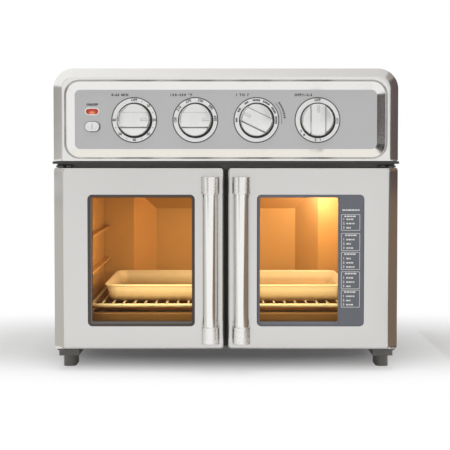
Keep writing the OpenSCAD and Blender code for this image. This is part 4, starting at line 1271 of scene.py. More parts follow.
@dataclass
class LightButton:
    """Pill-shaped button with a crease of painted shade across its cap and a dark gap line round it, set off
    as painted shade.

    Attributes:
        half: Half width and half height of the cap.
        root: How far the cap starts behind the panel's face.
        edge: Radius of the cap's edge.
        dish_in: Insets of the two rings inside the edge.
        dish: How far those rings lie behind the cap's front.
        crease: Half width and half height of the grey crease line, which is painted shade.
        crease_set: How far the crease starts behind the cap's front.
        crease_high: How far the crease stands out from there.
        gap: Width of the gap line, and how far it reaches past the cap.
        shade_shift: How far the gap line lies to the right and up, widening it on one side as painted shade.
        gap_high: How far the gap line stands out.
    """

    half: Span = (8.8 * MM, 5.8 * MM)
    root: float = 1 * MM
    edge: float = 1.2 * MM
    dish_in: Span = (3 * MM, 4.5 * MM)
    dish: Span = (0.1 * MM, 0.2 * MM)
    crease: Span = (0.3 * MM, 4.6 * MM)
    crease_set: float = 0.3 * MM
    crease_high: float = 0.25 * MM
    gap: Span = (1.4 * MM, 0.6 * MM)
    shade_shift: Span = (0.5 * MM, -0.15 * MM)
    gap_high: float = 0.15 * MM

    def build(self) -> None:
        """Round the cap's edge in rings along a quarter circle; lay the painted shade of crease and gap
        line.
        """
        box, panel = Bounds.of("light_button"), Bounds.of("control_panel").lo[1]
        half_w, half_h = self.half
        x, _, z = box.middle
        edge_in, edge_back = rounded(6, self.edge, self.edge)
        front = panel - box.lo[1]
        inward = np.concatenate([[0], edge_in, self.dish_in])
        rise = np.concatenate([[-self.root], front - edge_back, front - np.array(self.dish)])
        sides = inset(centred(x, z, half_w, half_h), inward)
        rings = ring_stack(sides, (half_h - inward)[:, None], panel - rise[:, None], steps=10)
        cap = skin(rings, caps=True)
        add_piece("button_cap", cap, KNOB_SILVER, "button", "button_silver", "light_button")
        # The grey crease line is painted shade.
        level = box.lo[1] + self.crease_set
        crease = raised_bar(centred(x, z, *self.crease), level, self.crease_high, FINE_ROUND)
        add_piece("button_crease", crease, SHADE_GREY, "button", "button_silver")
        # The gap line is the real gap, set off to the right so that it also paints the cap's shade.
        width, out = self.gap
        right, up = self.shade_shift
        sides = centred(x + right, z + up, half_w + out, half_h + out)
        gap = outline_box(sides, width, panel, self.gap_high, half_h + out)
        add_piece("button_gap", gap, INK_DARK, "case", "black_trim")


@dataclass
class KnobRow:
    """Four turned knobs with a grip bar, a white pointer line in a grey band of painted shade, and lines of
    painted shade.

    Attributes:
        angles: Rest angles, clockwise from straight up, from left to right.
        bar_top: Half width of the grip bar along its top.
        bar_foot: Half width of the grip bar at its foot.
        flank: How far the close columns of points reach inside the bar's top edge and past its foot.
        cheek: Height of the low cheeks beside the bar.
        fillet: Radius of the rim's edge.
        taper: How much narrower the rim is than the foot.
        dome: How much lower the face is at the rim than in the middle.
        shade_line: Width of the dark line of painted shade along the foot of the bar.
        weak_shade_line: Share of that width on the other side, where less shade is painted.
        shade_line_lap: How far a shade line reaches under the bar.
        shade_line_end: How far a shade line ends inside the rim.
        proud: How far a shade line and the pointer stand out.
        pointer: Half width, length and corner radius of the pointer line.
        shade_band: Half width, length and corner radius of the grey band of painted shade round it.
        crease: Angle in degrees past which an edge of the cap stays sharp.
    """

    angles: tuple[float, ...] = (90.0, 90.0, -64.0, 0.0)
    bar_top: float = 8.0 * MM
    bar_foot: float = 9.2 * MM
    flank: Span = (0.3 * MM, 0.2 * MM)
    cheek: float = 8 * MM
    fillet: float = 1.8 * MM
    taper: float = 0.7 * MM
    dome: float = 1.3 * MM
    shade_line: float = 0.9 * MM
    weak_shade_line: float = 0.6
    shade_line_lap: float = 0.3 * MM
    shade_line_end: float = 0.8 * MM
    proud: float = 0.05 * MM
    pointer: Point = (0.65 * MM, 8 * MM, 0.3 * MM)
    shade_band: Point = (1.5 * MM, 8.8 * MM, 0.5 * MM)
    crease: float = 50.0

    NAMES = ("timer", "temperature", "function", "shade")

    @classmethod
    def centres(cls) -> list[Array]:
        """Return the middle of each knob, from left to right."""
        return [Bounds.of(f"{name}_knob").middle for name in cls.NAMES]

    def build(self) -> None:
        """Build the four knobs with their pointers and their lines of painted shade."""
        for name, angle in zip(self.NAMES, self.angles):
            box, body = Bounds.of(f"{name}_knob"), f"{name}_turn"
            foot = np.array([box.middle[0], box.hi[1], box.middle[2]])
            radius, high = (box.hi[0] - box.lo[0]) / 2, box.hi[1] - box.lo[1]
            cap = self.cap(radius, high, foot).turned(angle, foot)
            stands, crease = f"{name}_knob", self.crease
            add_piece(f"{name}_knob_cap", cap, KNOB_SILVER, body, "knob_silver", stands, crease=crease)
            x, y, z = foot
            end, level = z + radius - self.taper - self.fillet, y - high + self.dome
            # The grey band round the white pointer line is painted shade.
            marks = (
                ("pointer", self.pointer, self.proud, INK_WHITE, "dial_print"),
                ("pointer_bed", self.shade_band, 0.0, POINTER_SHADE, "knob_silver"),
            )
            for mark, (half, length, rounding), proud, finish, slot in marks:
                sides = np.array([x - half, x + half, end - length, end])
                bar = raised_bar(sides, level, self.dome + proud, rounding, angle, foot)
                add_piece(f"{name}_{mark}", bar, finish, body, slot)
            # Dark grey lines of painted shade along the foot of the grip bar.
            add_piece(f"{name}_seams", self.shade_lines(radius, angle, foot), SHADE_GREY, body, "knob_silver")

    def shade_lines(self, radius: float, angle: float, foot: Array) -> Shell:
        """Lay lines of painted shade along the bar's foot, the stronger one on the side that faces down or
        right.

        A shade line's half length is the root of the rim's radius squared minus the line's distance squared.

        Args:
            radius: Radius at the foot.
            angle: Rest angle in degrees.
            foot: Middle of the foot's circle.

        Returns:
            One or two closed bars.
        """
        x, y, z = foot
        start = self.bar_foot - self.shade_line_lap
        half = math.sqrt((radius - self.taper) ** 2 - (start + self.shade_line) ** 2) - self.shade_line_end
        level = y - self.cheek + self.dome
        lift = self.dome * (1 - (start / radius) ** 2) + self.proud
        widths = {Side.RIGHT: self.shade_line}
        if angle < 0:
            widths = {Side.LEFT: self.shade_line, Side.RIGHT: self.weak_shade_line * self.shade_line}
        bars = []
        for side, width in widths.items():
            edges = sorted(x + side.value * reach for reach in (start, start + width))
            sides = np.array([*edges, z - half, z + half])
            bars.append(raised_bar(sides, level, lift, FINE_ROUND, angle, foot))
        return joined(bars)

    def cap(self, radius: float, high: float, foot: Array) -> Shell:
        """Work out a knob on a grid of chords.

        Column i lies at x, and row j runs along the chord there, from minus to plus the root of r squared
        minus x squared. The height is the cheek's, plus the bar's extra height times a smooth step that
        falls from 1 at the bar's top edge to 0 at its foot. Near the rim it drops by a quarter circle. The
        outline then goes down to the foot, where it is wider by the taper.

        Args:
            radius: Radius at the foot.
            high: Height of the grip bar.
            foot: Middle of the foot's circle.

        Returns:
            The closed knob, pointing up.
        """
        rim = radius - self.taper
        plain = np.sin(np.linspace(-math.pi / 2, math.pi / 2, 41)) * rim
        inside, past = self.flank
        flank = np.linspace(self.bar_top - inside, self.bar_foot + past, 9)
        apart = np.abs(np.abs(plain) - (self.bar_top + self.bar_foot) / 2)
        x = np.unique(np.concatenate([plain[apart > self.bar_foot - self.bar_top], flank, -flank]))
        share = np.sin(np.linspace(-math.pi / 2, math.pi / 2, 33))
        half = np.sqrt(np.maximum(rim ** 2 - x ** 2, 0))
        grid_x, grid_z = np.broadcast_to(x[:, None], (len(x), len(share))), np.outer(half, share)
        fall = np.clip((self.bar_foot - np.abs(grid_x)) / (self.bar_foot - self.bar_top), 0, 1)
        height = self.cheek + (high - self.cheek) * fall ** 2 * (3 - 2 * fall)
        height = height - self.dome * (grid_x ** 2 + grid_z ** 2) / rim ** 2
        near = np.clip(self.fillet - (rim - np.hypot(grid_x, grid_z)), 0, self.fillet)
        height = height - (self.fillet - np.sqrt(self.fillet ** 2 - near ** 2))
        top = np.stack([grid_x, -height, grid_z], axis=-1)
        edge = np.concatenate([top[:, -1], top[-2:0:-1, 0]])
        stretch = radius / rim
        midway = (1 + stretch) / 2
        base = edge * [stretch, 0, stretch]
        wall = skin(np.stack([edge, edge * [midway, 0.5, midway], base]))
        ring, count = np.arange(len(base)), len(base)
        fan = np.stack([(ring + 1) % count, ring, np.full(count, count)], axis=1)
        floor = Shell(np.vstack([base, np.zeros((1, 3))]), tris=fan)
        shell = (patch(top) + wall + floor).welded().alike().outward()
        return Shell(shell.points + foot, shell.quads, shell.tris)


@dataclass
class Door:
    """Door with a pressed skin, a window in a dark bezel, and a bar handle on two posts.

    Attributes:
        side: Side of the oven that it hangs on.
        edge: Width of the outer upright bevel.
        edge_depth: Depth of that bevel.
        edge_power: Power of its curve: 1 is a chamfer and 2 is round.
        soft: Radius of the other front edges.
        corner: Corner radius seen from the front.
        corner_in: How much smaller that radius is on the face.
        window_r: Corner radius of the window.
        roll: Radius of the rolled edge round the window.
        wall: Thickness of the skin.
        back_roll: Depth of the skin's back at the window.
        back_face: Depth of the skin's back behind the face.
        back_corner: Corner radius of the skin's back.
        bezel: Width of the bezel's face.
        bezel_soft: Radius of the bezel's edges.
        bezel_play: Gap between the bezel and the skin.
        chart: Width of the bezel's face where it carries the chart.
        post_high: Height of a handle post.
        post_round: Radius of a post's edges.
        post_land: Length of the first straight run past a post's rounded end.
        gasket_gap: Distance of the gasket's tip from the oven's middle.
        gasket_root: How far the gasket reaches into the skin's edge.
        gasket_set: Distance of the gasket behind the door's face.
        gasket_t: Thickness of the gasket.
        gasket_end: Distance of the gasket's ends from the door's ends.
    """

    side: Side
    edge: float = 12 * MM
    edge_depth: float = 9.6 * MM
    edge_power: float = 1.12
    soft: float = 2.3 * MM
    corner: float = 4 * MM
    corner_in: float = 1.6 * MM
    window_r: float = 5 * MM
    roll: float = 0.8 * MM
    wall: float = 0.7 * MM
    back_roll: float = 1.6 * MM
    back_face: float = 1.8 * MM
    back_corner: float = 3 * MM
    bezel: float = 3 * MM
    bezel_soft: float = 0.5 * MM
    bezel_play: float = 0.05 * MM
    chart: float = 29 * MM
    post_high: float = 20 * MM
    post_round: float = 0.9 * MM
    post_land: float = 0.4 * MM
    gasket_gap: float = 0.01 * MM
    gasket_root: float = 0.3 * MM
    gasket_set: float = 9 * MM
    gasket_t: float = 3.2 * MM
    gasket_end: float = 3 * MM

    @property
    def name(self) -> str:
        """Word for the side, as the nodes have it."""
        return self.side.name.lower()

    def build(self) -> None:
        """Build the skin, the bezel, the gasket and the handle."""
        self.build_skin()
        self.build_bezel()
        self.build_gasket()
        self.build_handle()

    def left_box(self, node: str) -> Bounds:
        """Give the box of one of this door's nodes, mirrored to the left side.

        Args:
            node: Name of the node without its side.

        Returns:
            The box.
        """
        box = Bounds.of(f"{self.name}_{node}")
        flip = np.array([-self.side.value, 1, 1])
        ends = np.stack([box.lo * flip, box.hi * flip])
        return Bounds(ends.min(axis=0), ends.max(axis=0))

    def put(self, piece: str, shell: Shell, finish: Finish, slot: str, *stands_for: str) -> None:
        """Add a piece of this door that is drawn on the left and stands for nodes of its side."""
        nodes = (f"{self.name}_{node}" for node in stands_for)
        body = f"{self.name}_door"
        add_piece(f"{self.name}_{piece}", shell.mirrored(self.side), finish, body, slot, *nodes)

    def build_skin(self) -> None:
        """Loft the skin as a closed loop of rounded rectangles, drawn on the left.

        Each front edge is a rounded edge of its own size, and the outer upright one is flattened by the
        power 2 / edge_power. The sheet then rolls into the window and runs back inside.
        """
        box, window = self.left_box("door_skin"), self.left_box("window_bezel").sides
        thick = box.hi[1] - box.lo[1]
        bevel_in, bevel_back = rounded(9, self.edge, self.edge_depth, 2 / self.edge_power)
        soft_in, soft_back = rounded(9, self.soft, self.soft)
        roll_back, roll_out = rounded(9, self.roll, self.roll)
        left, right, low, top = box.sides
        around = np.stack([left + bevel_in, right - soft_in, low + soft_in, top - soft_in], axis=1)
        around_back = np.stack([soft_back, soft_back, bevel_back, soft_back], axis=1)
        rolled, rolled_back = inset(window, -roll_out), np.repeat(roll_back[:, None], 4, axis=1)
        behind = np.vstack([
            inset(window, [0, -self.roll]), inset(box.sides, [self.edge, self.wall, self.wall]),
        ])
        behind_back = np.array([self.back_roll, self.back_roll, self.back_face, self.edge + MM, thick])
        sides = np.vstack([inset(box.sides, 0), around, rolled, behind])
        depths = np.vstack([
            np.full((1, 4), thick), around_back, rolled_back, np.repeat(behind_back[:, None], 4, axis=1),
        ])
        radii = np.concatenate([
            [self.corner], self.corner - rounded(9, self.corner_in, 0.0)[0], self.window_r + roll_out,
            [self.window_r, self.window_r + self.roll], np.full(3, self.back_corner),
        ])
        rings = ring_stack(sides, radii[:, None], box.lo[1] + depths, steps=9)
        self.put("door_shell", skin(rings, loop=True), DOOR_STEEL, "stainless", "door_skin")

    def build_bezel(self) -> None:
        """Loft the bezel as a closed loop: up the outside, over a rounded face, and back to the glass.

        On the right door the outer side of the face is wider and carries the chart.
        """
        box = self.left_box("window_bezel")
        deep, soft, play = box.hi[1] - box.lo[1], self.bezel_soft, self.bezel_play
        inward = np.array([play, play, soft, self.bezel - soft, self.bezel, self.bezel])
        back = np.array([deep, soft, 0, 0, soft, deep])
        sides = inset(box.sides, inward)
        finish = BEZEL_LEFT
        if self.side is Side.RIGHT:
            sides[3:, 0] += self.chart - self.bezel
            finish = BEZEL_RIGHT
        rings = ring_stack(sides, (self.window_r - inward)[:, None], (box.lo[1] + back)[:, None], steps=8)
        self.put("bezel_frame", skin(rings, loop=True), finish, "bezel_black", "window_bezel")

    def build_gasket(self) -> None:
        """Loft the rubber lip on the door's free edge.

        Its outline, a strip with a half circle for its tip, is carried along Z and closes half of the gap.
        """
        box = self.left_box("door_skin")
        root, base = box.hi[0] - self.gasket_root, box.lo[1] + self.gasket_set
        turn = np.linspace(0, math.pi, 9)
        half = self.gasket_t / 2
        x = np.concatenate([[root], half * np.sin(turn) - half - self.gasket_gap, [root]])
        y = np.concatenate([[base], base + half - half * np.cos(turn), [base + 2 * half]])
        levels = (box.lo[2] + self.gasket_end, box.hi[2] - self.gasket_end)
        rings = np.stack([np.stack([x, y, np.full_like(x, level)], axis=1) for level in levels])
        self.put("door_gasket", skin(rings, caps=True), GASKET_RUBBER, "black_trim")

    def build_handle(self) -> None:
        """Revolve the bar, and loft the two posts from D-shaped rings with rounded ends.

        A post's ring is a half circle to the front, closed by straight sides down to the door's face.
        Towards each end its radius shrinks along a rounded edge.
        """
        tube, posts = self.left_box("handle_tube"), self.left_box("handle_posts")
        x, y, _ = tube.middle
        radius = (tube.hi[0] - tube.lo[0]) / 2
        bar = revolve(np.array([[radius, tube.lo[2]], [radius, tube.hi[2]]]), np.array([x, y, 0]), True)
        self.put("handle_bar", bar, CHROME, "handle_chrome", "handle_tube")
        climb, shrink = rounded(7, self.post_round, self.post_round)
        climb, shrink = np.append(climb, self.post_round + self.post_land), np.append(shrink, 0)
        radii = (posts.hi[0] - posts.lo[0]) / 2 - np.concatenate([shrink, shrink[::-1]])
        around = np.linspace(math.pi, 2 * math.pi, 25)
        ring_x = x + np.column_stack([np.outer(radii, np.cos(around)), radii, -radii])
        front_y = y + np.outer(radii, np.sin(around))
        ring_y = np.column_stack([front_y, np.full((len(radii), 2), posts.hi[1])])
        ends = []
        for low in (posts.lo[2], posts.hi[2] - self.post_high):
            level = np.concatenate([low + climb, low + self.post_high - climb[::-1]])
            ring_z = np.broadcast_to(level[:, None], ring_x.shape)
            ends.append(skin(np.stack([ring_x, ring_y, ring_z], axis=-1), caps=True))
        self.put("handle_ends", joined(ends), POST_STEEL, "handle_chrome", "handle_posts")


@dataclass
class Chart:
    """Print on the wide side of the right bezel, in millimetres from the bezel's right lower corner.

    Attributes:
        sides: Distances of the boxes' left and right sides.
        boxes: Heights of each box's bottom and top.
        title: Height of the title.
        title_bars: Lengths of the title's bars.
        head_bars: Lengths of the bars along the top of a box.
        word_bars: Lengths of the bars in a box's lines, used in turn.
        starts: Distances of the title, a box's head and its words from the boxes' left side.
        head: Distance of a head's lower edge from its box's top.
        number: Height of a number, its distance from the left side and its place over a line's foot.
        pitch: Height of a box's first line over its bottom, and distance between lines.
        space: Gap between bars.
        bar: Height of a bar in a box, and of one in the title.
        rise: How far the print stands out.
        line: Width of a box's outline.
    """

    sides: Span = (26.7, 4.6)
    boxes: tuple[Span, ...] = ((22.1, 42.8), (43.9, 64.6), (66.7, 87.6), (89.1, 109.9), (113.0, 132.2))
    title: float = 136.2
    title_bars: tuple[float, ...] = (3.4, 2.2, 4.2, 3.0, 2.6, 2.4)
    head_bars: tuple[float, ...] = (2.6, 3.4, 2.2, 3.8)
    word_bars: tuple[tuple[float, ...], ...] = ((2.4, 1.8, 3.0), (3.2, 1.6), (2.2, 2.8, 1.4, 1.8))
    starts: Point = (1.2, 3.5, 6.0)
    head: float = 3.3
    number: Point = (2.6, 3.0, 1.0)
    pitch: Span = (2.4, 5.0)
    space: float = 0.5
    bar: Span = (1.7, 1.8)
    rise: float = 0.1
    line: float = 0.55

    def build(self) -> None:
        """Print five outlined boxes with plain numbers and bars."""
        bezel = Bounds.of("right_window_bezel")
        face, low = bezel.lo[1], bezel.lo[2]
        left, right = bezel.hi[0] - np.array(self.sides) * MM
        plain, tall = self.bar
        first, pitch = self.pitch
        title_in, head_in, word_in = self.starts
        size, right_by, up_by = np.array(self.number) * MM
        rise = self.rise * MM
        marks = self.row(left, title_in, self.title_bars, low + self.title * MM, tall, face)
        for i, (bottom, top) in enumerate(self.boxes):
            foot, head = low + bottom * MM, low + top * MM
            marks.append(outline_box(np.array([left, right, foot, head]), self.line * MM, face, rise, MM))
            marks += self.row(left, head_in + i % 2, self.head_bars, head - self.head * MM, plain, face)
            for k in range(3):
                z = foot + (first + pitch * k) * MM
                spot = np.array([left + right_by, face, z + up_by])
                marks.append(lettering(str(3 - k), size, spot, rise=rise))
                marks += self.row(left, word_in, self.word_bars[(i + k) % 3], z, plain, face)
        add_piece("chart_marks", joined(marks), INK_WHITE, "right_door", "dial_print")

    def row(self, left: float, start: float, lengths: tuple[float, ...], z: float, high: float,
            face: float) -> list[Shell]:
        """Lay a row of short bars one after the other.

        Args:
            left: X of the boxes' left side.
            start: Distance of the first bar from there in millimetres.
            lengths: Length of each bar in millimetres.
            z: Z of their lower edge.
            high: Height of the bars in millimetres.
            face: Y of the face that carries them.

        Returns:
            The closed bars.
        """
        ends = left + (start + np.cumsum(np.array(lengths) + self.space) - self.space) * MM
        rows = [np.array([end - length * MM, end, z, z + high * MM]) for length, end in zip(lengths, ends)]
        return [raised_bar(sides, face, self.rise * MM) for sides in rows]


@dataclass
class Pan:
    """Baking pan with a rolled rim.

    Attributes:
        wall: Thickness of the sheet.
        rim: Width of the rim.
        bead: Radius of the rolled edge.
        shoulder: Depths of the three rings from the rolled edge to the wall.
        shoulder_in: How far the last of them lies inside the rim.
        corner: Corner radius at the rim.
        least_corner: Smallest corner radius, on the floor.
        draft: How much narrower the pan is at its floor.
        soft: Radius between wall and floor.
        middle: Inset of the last ring on the floor.
    """

    wall: float = 0.9 * MM
    rim: float = 3 * MM
    bead: float = 1.3 * MM
    shoulder: Point = (0.4 * MM, 1.2 * MM, 2.4 * MM)
    shoulder_in: float = 0.5 * MM
    corner: float = 16 * MM
    least_corner: float = 3 * MM
    draft: float = 3 * MM
    soft: float = 8 * MM
    middle: float = 60 * MM

    def build(self) -> None:
        """Loft the pan as a closed loop of level rings: rolled rim, inner wall, floor, and back underneath.

        The rolled edge is a half circle, and the foot of the wall is a rounded edge. The rings are made as
        if seen from the front and then laid flat: depth becomes height.
        """
        box = Bounds.of("baking_pan")
        plan = np.array([box.lo[0], box.hi[0], box.lo[1], box.hi[1]])
        high = box.hi[2] - box.lo[2]
        turn = np.linspace(-math.pi / 2, math.pi / 2, 9)
        bend_in, foot_high = rounded(7, self.soft, self.soft)
        foot_in = self.rim + self.draft + bend_in
        inward = np.concatenate([
            self.bead - self.bead * np.cos(turn),
            [self.rim - self.wall, self.rim, self.rim + self.shoulder_in],
            foot_in, [self.middle],
        ])
        height = np.concatenate([
            high - self.bead + self.bead * np.sin(turn),
            high - np.array(self.shoulder),
            foot_high + self.wall, [self.wall],
        ])
        upper = len(inward)
        inward = np.concatenate([inward, [self.middle], (foot_in - self.wall)[::-1], [self.rim - self.wall]])
        height = np.concatenate([height, [0], foot_high[::-1], [high - 2 * self.bead]])
        radii = np.maximum(self.corner - inward, self.least_corner)
        rings = ring_stack(inset(plan, inward), radii[:, None], (box.lo[2] + height)[:, None], steps=9)
        sheet = self.closed(rings[:, :, [0, 2, 1]], upper)
        add_piece("baking_pan_sheet", sheet, PAN_STEEL, "pan", "pan_steel", "baking_pan")

    @staticmethod
    def closed(rings: Array, upper: int) -> Shell:
        """Join the pan's rings into a loop that is closed by fans over the two sides of the floor.

        Args:
            rings: Level rings from the rim over the inside to the middle, then back underneath.
            upper: Number of rings on the upper side.

        Returns:
            The closed sheet.
        """
        cols = rings.shape[1]
        col, after = np.arange(cols), (np.arange(cols) + 1) % cols
        lap = skin(rings, loop=True).quads.reshape(len(rings), cols, 4)
        quads = np.delete(lap, upper - 1, axis=0).reshape(-1, 4)
        last, first, total = (upper - 1) * cols, upper * cols, len(rings) * cols
        fans = np.vstack([
            np.stack([last + col, last + after, np.full(cols, total)], axis=1),
            np.stack([first + after, first + col, np.full(cols, total + 1)], axis=1),
        ])
        forward = lap[0, 0, 0] < cols
        poles = rings[[upper - 1, upper]].mean(axis=1)
        points = np.vstack([rings.reshape(-1, 3), poles])
        return Shell(points, quads, fans if forward else fans[:, ::-1]).outward()


@dataclass(frozen=True)
class Lamp:
    """Lamp that no metal mirrors.

    Attributes:
        name: Name of the lamp.
        place: Its middle.
        power: Power in watts.
        size: Width and height, or the radius twice where it shines all round.
        way: Direction that it shines in, or None where it shines all round.
        colour: Colour of its light.
        inside: Whether it hangs in the oven, where it shows only by its light.
    """

    name: str
    place: Point
    power: float
    size: Span
    way: Point | None = None
    colour: Colour = (1.0, 1.0, 1.0)
    inside: bool = False

    def hang(self) -> None:
        """Put the lamp into the scene."""
        light = bpy.data.lights.new(self.name, "AREA" if self.way else "POINT")
        light.energy = self.power
        light.color = self.colour
        lamp = placed(self.name, light)
        lamp.location = self.place
        if self.way:
            light.shape = "RECTANGLE"
            light.size, light.size_y = self.size
            turn_to(lamp, self.way)
        else:
            light.shadow_soft_size = self.size[0]
        lamp.visible_glossy = False
        lamp.visible_camera = lamp.visible_transmission = not self.inside
        LOG.info("%s shines with %g W", self.name, self.power)


@dataclass
class OvenLight:
    """Warm light inside the oven.

    Attributes:
        lamp_power: Power of the oven lamp in watts.
        gleam_power: Power of its gleam in the upper right corner in watts.
        over_power: Power of the glow under the upper elements in watts.
        front_power: Power of the glow behind the windows in watts.
        under_power: Power of the glow under the rack in watts.
        bulb: Radius of the lamp and its gleam, twice.
        lamp_tint: Colour of the oven lamp.
        gleam_tint: Colour of its gleam.
        glow_tint: Colour of the glows.
    """

    lamp_power: float = 0.6
    gleam_power: float = 0.34
    over_power: float = 0.3
    front_power: float = 0.6
    under_power: float = 0.12
    bulb: Span = (12 * MM, 12 * MM)
    lamp_tint: Colour = (1.0, 0.77, 0.36)
    gleam_tint: Colour = (1.0, 1.0, 0.95)
    glow_tint: Colour = (1.0, 0.81, 0.41)

    def build(self) -> None:
        """Hang the lamp by its cover, its gleam in the corner behind, and glows round the pan."""
        cover, ceiling, back = (Bounds.of(node) for node in ("lamp_cover", "cavity_ceiling", "cavity_back"))
        glass = Bounds.of("left_window_glass", "right_window_glass")
        by_cover = (cover.lo[0] - 22 * MM, cover.middle[1] + 40 * MM, cover.middle[2] + 12 * MM)
        in_corner = (cover.lo[0] - 34 * MM, back.lo[1] - 30 * MM, ceiling.lo[2] - 24 * MM)
        over = (0.0, ceiling.middle[1], ceiling.lo[2] - 30 * MM)
        front = (0.0, glass.hi[1] + 12 * MM, glass.middle[2] + 8 * MM)
        under = (20 * MM, ceiling.middle[1], glass.lo[2] + 6 * MM)
        down, inwards, up = (0.0, 0.0, -1.0), (0.0, 1.0, -0.15), (0.0, 0.0, 1.0)
        lamps = (
            ("oven_lamp", by_cover, self.lamp_power, self.bulb, None, self.lamp_tint),
            ("oven_hot_spot", in_corner, self.gleam_power, self.bulb, None, self.gleam_tint),
            ("oven_glow", over, self.over_power, (0.18, 0.18), down, self.glow_tint),
            ("oven_front", front, self.front_power, (0.3, 0.12), inwards, self.glow_tint),
            ("oven_low", under, self.under_power, (0.26, 0.2), up, self.glow_tint),
        )
        for lamp in lamps:
            Lamp(*lamp, inside=True).hang()


@dataclass(frozen=True)
class Card:
    """Sheet that only reflections see.

    Attributes:
        name: Name of the sheet.
        corners: Its four corners, in order round it.
        colour: Its colour, or the colour of its left end.
        far: Colour of its right end, if that differs.
        fade: X where the colour leaves the left one and X where it reaches the right one.
    """

    name: str
    corners: tuple[Point, Point, Point, Point]
    colour: Colour
    far: Colour | None = None
    fade: Span = (-1.0, 1.0)

    @classmethod
    def upright(cls, name: str, start: Span, end: Span, heights: Span, *colours: Any) -> Card:
        """Return an upright card between two points of the plan and two heights."""
        low, top = heights
        return cls(name, ((*start, low), (*end, low), (*end, top), (*start, top)), *colours)

    @classmethod
    def strip(cls, name: str, start: Span, end: Span, run: Span, *colours: Any) -> Card:
        """Return a card between two points given by X and Z, along a run of Y."""
        (left, low), (right, top), (near, far) = start, end, run
        corners = ((left, near, low), (left, far, low), (right, far, top), (right, near, top))
        return cls(name, corners, *colours)

    def material(self) -> bpy.types.Material:
        """Make a material that gives off the card's colour.

        Returns:
            The material.
        """
        made, nodes = new_material(self.name)
        colour = self.colour
        if self.far:
            share = nodes.remap(nodes.along(nodes.coords(), "X"), 0.0, 1.0, *self.fade)
            colour = nodes.mix(share, self.colour, self.far)
        nodes.surface(nodes.emission(colour))
        return made


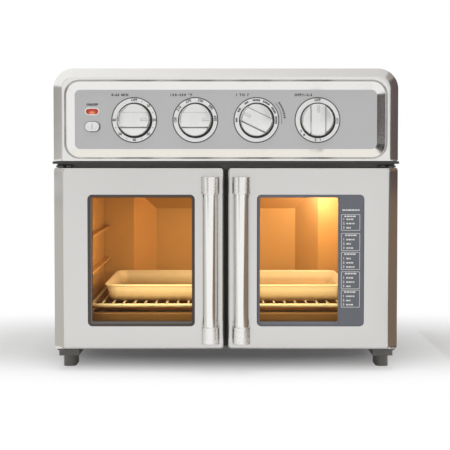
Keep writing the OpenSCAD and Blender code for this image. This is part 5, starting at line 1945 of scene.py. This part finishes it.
@dataclass
class Studio:
    """Pale floor, soft light, cards that show only in reflections, and the camera.

    Attributes:
        eye: Place of the camera.
        aim: Point in the middle of the picture.
        lens: Focal length in millimetres on a sensor 36 mm wide.
        fill: Brightness of the world for diffuse light.
        dim: Colour of the studio as the oven's inside sees it through the glass.
        floor: Half length of the floor.
        floor_tint: Darkest and lightest grey of the floor.
        floor_glow: Brightness that the floor gives off.
        pool_shift: Shift of the shadow's pool on the floor.
        pool_scale: Scale of distances from the pool's middle.
        seen_fade: Scaled distances between which the floor turns white to the camera and through glass.
        gloss_fade: Scaled distances between which it turns white in gloss.
    """

    eye: Point = (0.0, -1.853, 0.258)
    aim: Point = (-0.0010, -0.1533, 0.1731)
    lens: float = 115.6
    fill: float = 0.56
    dim: Colour = (0.05, 0.045, 0.04)
    floor: float = 6.0
    floor_tint: Span = (0.70, 0.72)
    floor_glow: float = 0.07
    pool_shift: Point = (0.0, -0.18, 0.0)
    pool_scale: Point = (0.72, 1.5, 1.0)
    seen_fade: Span = (0.2, 0.6)
    gloss_fade: Span = (0.4, 0.9)

    def build(self) -> None:
        """Build the stage."""
        bpy.context.scene.view_settings.view_transform = "Standard"
        self.build_camera()
        self.build_world()
        self.build_floor()
        self.build_cards()
        self.build_lamps()

    def build_camera(self) -> None:
        """Aim the camera with its up direction along +Z."""
        data = bpy.data.cameras.new("camera")
        data.sensor_width = 36.0
        data.lens = self.lens
        camera = placed("camera", data)
        camera.location = self.eye
        turn_to(camera, Vector(self.aim) - Vector(self.eye))
        bpy.context.scene.camera = camera

    def build_world(self) -> None:
        """Show white to the camera and in gloss and glass, and a plain grey to everything else."""
        world = bpy.data.worlds.new("studio")
        world.use_nodes = True
        nodes = Nodes(world.node_tree)
        path = nodes.add("LightPath").outputs
        seen = path["Is Camera Ray"]
        for name in ("Is Glossy Ray", "Is Transmission Ray"):
            seen = nodes.math("MAXIMUM", seen, path[name])
        seen = nodes.math("MULTIPLY", seen, nodes.math("LESS_THAN", path["Diffuse Depth"], 0.5))
        colour = nodes.mix(seen, grey(self.fill), grey(1.0))
        colour = nodes.mix(nodes.escaping(), colour, self.dim)
        background = nodes.add("Background", {"Color": colour, "Strength": 1.0}).outputs[0]
        nodes.surface(background, "OutputWorld")
        bpy.context.scene.world = world

    def build_floor(self) -> None:
        """Lay a wide floor that keeps the shadow near the oven and turns to plain white further out.

        The white's share is a smooth step of the distance from the middle, for the rays that show the floor.
        """
        material, nodes = new_material("studio_floor")
        path = nodes.add("LightPath").outputs
        place = {"Vector": nodes.coords(), "Location": self.pool_shift, "Scale": self.pool_scale}
        pool = nodes.add("Mapping", place).outputs["Vector"]
        away = nodes.add("VectorMath", {0: pool}, operation="LENGTH").outputs["Value"]
        seen = nodes.math("MAXIMUM", path["Is Camera Ray"], path["Is Transmission Ray"])
        shares = [
            nodes.math("MULTIPLY", ray, nodes.remap(away, 0.0, 1.0, *fade, "SMOOTHSTEP"))
            for ray, fade in ((seen, self.seen_fade), (path["Is Glossy Ray"], self.gloss_fade))
        ]
        dark, light = self.floor_tint
        paper = nodes.principled({
            "Base Color": nodes.mix(nodes.noise(3.0), grey(dark), grey(light)),
            "Roughness": 0.55,
            "Specular IOR Level": 0.2,
            "Emission Color": opaque(grey(1.0)),
            "Emission Strength": self.floor_glow,
        })
        ground = nodes.blend(nodes.math("MAXIMUM", *shares), paper, nodes.emission(grey(1.0)))
        nodes.surface(nodes.blend(nodes.escaping(), ground, nodes.emission(self.dim)))
        edge = np.linspace(-self.floor, self.floor, 13)
        x, y = np.meshgrid(edge, edge)
        self.add_sheet("studio_floor", np.stack([x, y, 0 * x], axis=-1), material)

    @staticmethod
    def add_sheet(name: str, grid: Array, material: bpy.types.Material) -> bpy.types.Object:
        """Make a stage object from a grid of points.

        Args:
            name: Name of the object.
            grid: Points as (rows, columns, 3).
            material: Its material.

        Returns:
            The object.
        """
        mesh = patch(grid).mesh(name)
        mesh.materials.append(material)
        sheet = placed(name, mesh)
        return sheet

    def build_cards(self) -> None:
        """Stand cards behind the camera, at the sides and over the oven, and lean two ramps beside it."""
        back, side, high, wide = -4.5, 1.6, 2.3, 2.4
        depth = (-0.75, 2.2)
        cards = (
            Card.upright("card_behind", (-0.6, back), (0.6, back), (-0.02, 3.0), grey(0.87), grey(0.96),
                         (-0.45, 0.45)),
            Card.upright("card_behind_left", (-1.5, back), (-0.6, back), (-0.02, 3.0), grey(0.98)),
            Card.upright("card_behind_right", (0.78, back), (1.7, back), (0.28, 3.0), grey(0.55)),
            Card.strip("card_right", (side, 0.01), (side, 1.3), depth, (0.12, 0.09, 0.085)),
            Card.strip("card_right_high", (side, 1.3), (side, high), depth, (0.36, 0.33, 0.31)),
            Card.strip("card_left", (-side, 0.2), (-side, 0.6), depth, (0.40, 0.39, 0.37)),
            Card.upright("card_left_front", (-1.39, -1.38), (-0.75, -1.92), (0.17, 1.8),
                         (0.028, 0.02, 0.019)),
            Card.strip("ramp_right", (0.28, 0.004), (0.62, 0.2), (-0.72, 0.25), (0.25, 0.18, 0.13)),
            Card.strip("ramp_left", (-0.28, 0.004), (-0.62, 0.2), (-0.4, 0.25), (0.66, 0.65, 0.61)),
            Card.strip("card_over", (-wide, high), (wide, high), (-1.1, 2.0), (1.0, 1.0, 0.99),
                       (0.72, 0.71, 0.70), (-0.4, 0.45)),
            Card.strip("card_over_front", (-wide, high), (wide, high), (-3.0, -1.1), (1.0, 0.97, 0.90)),
        )
        for card in cards:
            grid = np.array(card.corners)[[0, 3, 1, 2]].reshape(2, 2, 3)
            sheet = self.add_sheet(card.name, grid, card.material())
            sheet.visible_camera = False
            sheet.visible_diffuse = False
            sheet.visible_shadow = False
            sheet.visible_transmission = False

    def build_lamps(self) -> None:
        """Hang a soft lamp over the oven and a weaker one at the upper left of the camera."""
        lamps = (("key", (0.02, -0.35, 2.2), 22.0, 1.3), ("front", (-0.3, -2.2, 1.6), 6.0, 1.0))
        for name, place, power, size in lamps:
            Lamp(name, place, power, (size, size), tuple(Vector(self.aim) - Vector(place))).hang()


def main() -> None:
    """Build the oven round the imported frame."""
    logging.basicConfig(level=logging.INFO, format="%(message)s")
    for leftover in list(bpy.data.objects):
        bpy.data.objects.remove(leftover)
    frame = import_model()
    assemblies = (
        Studio(), Frame(frame["nodes"]), Header(), Dials(), PanelLamp(), LightButton(), KnobRow(),
        Door(Side.LEFT), Door(Side.RIGHT), Chart(), Pan(), OvenLight(),
    )
    for assembly in assemblies:
        assembly.build()


if __name__ == "__main__":
    main()
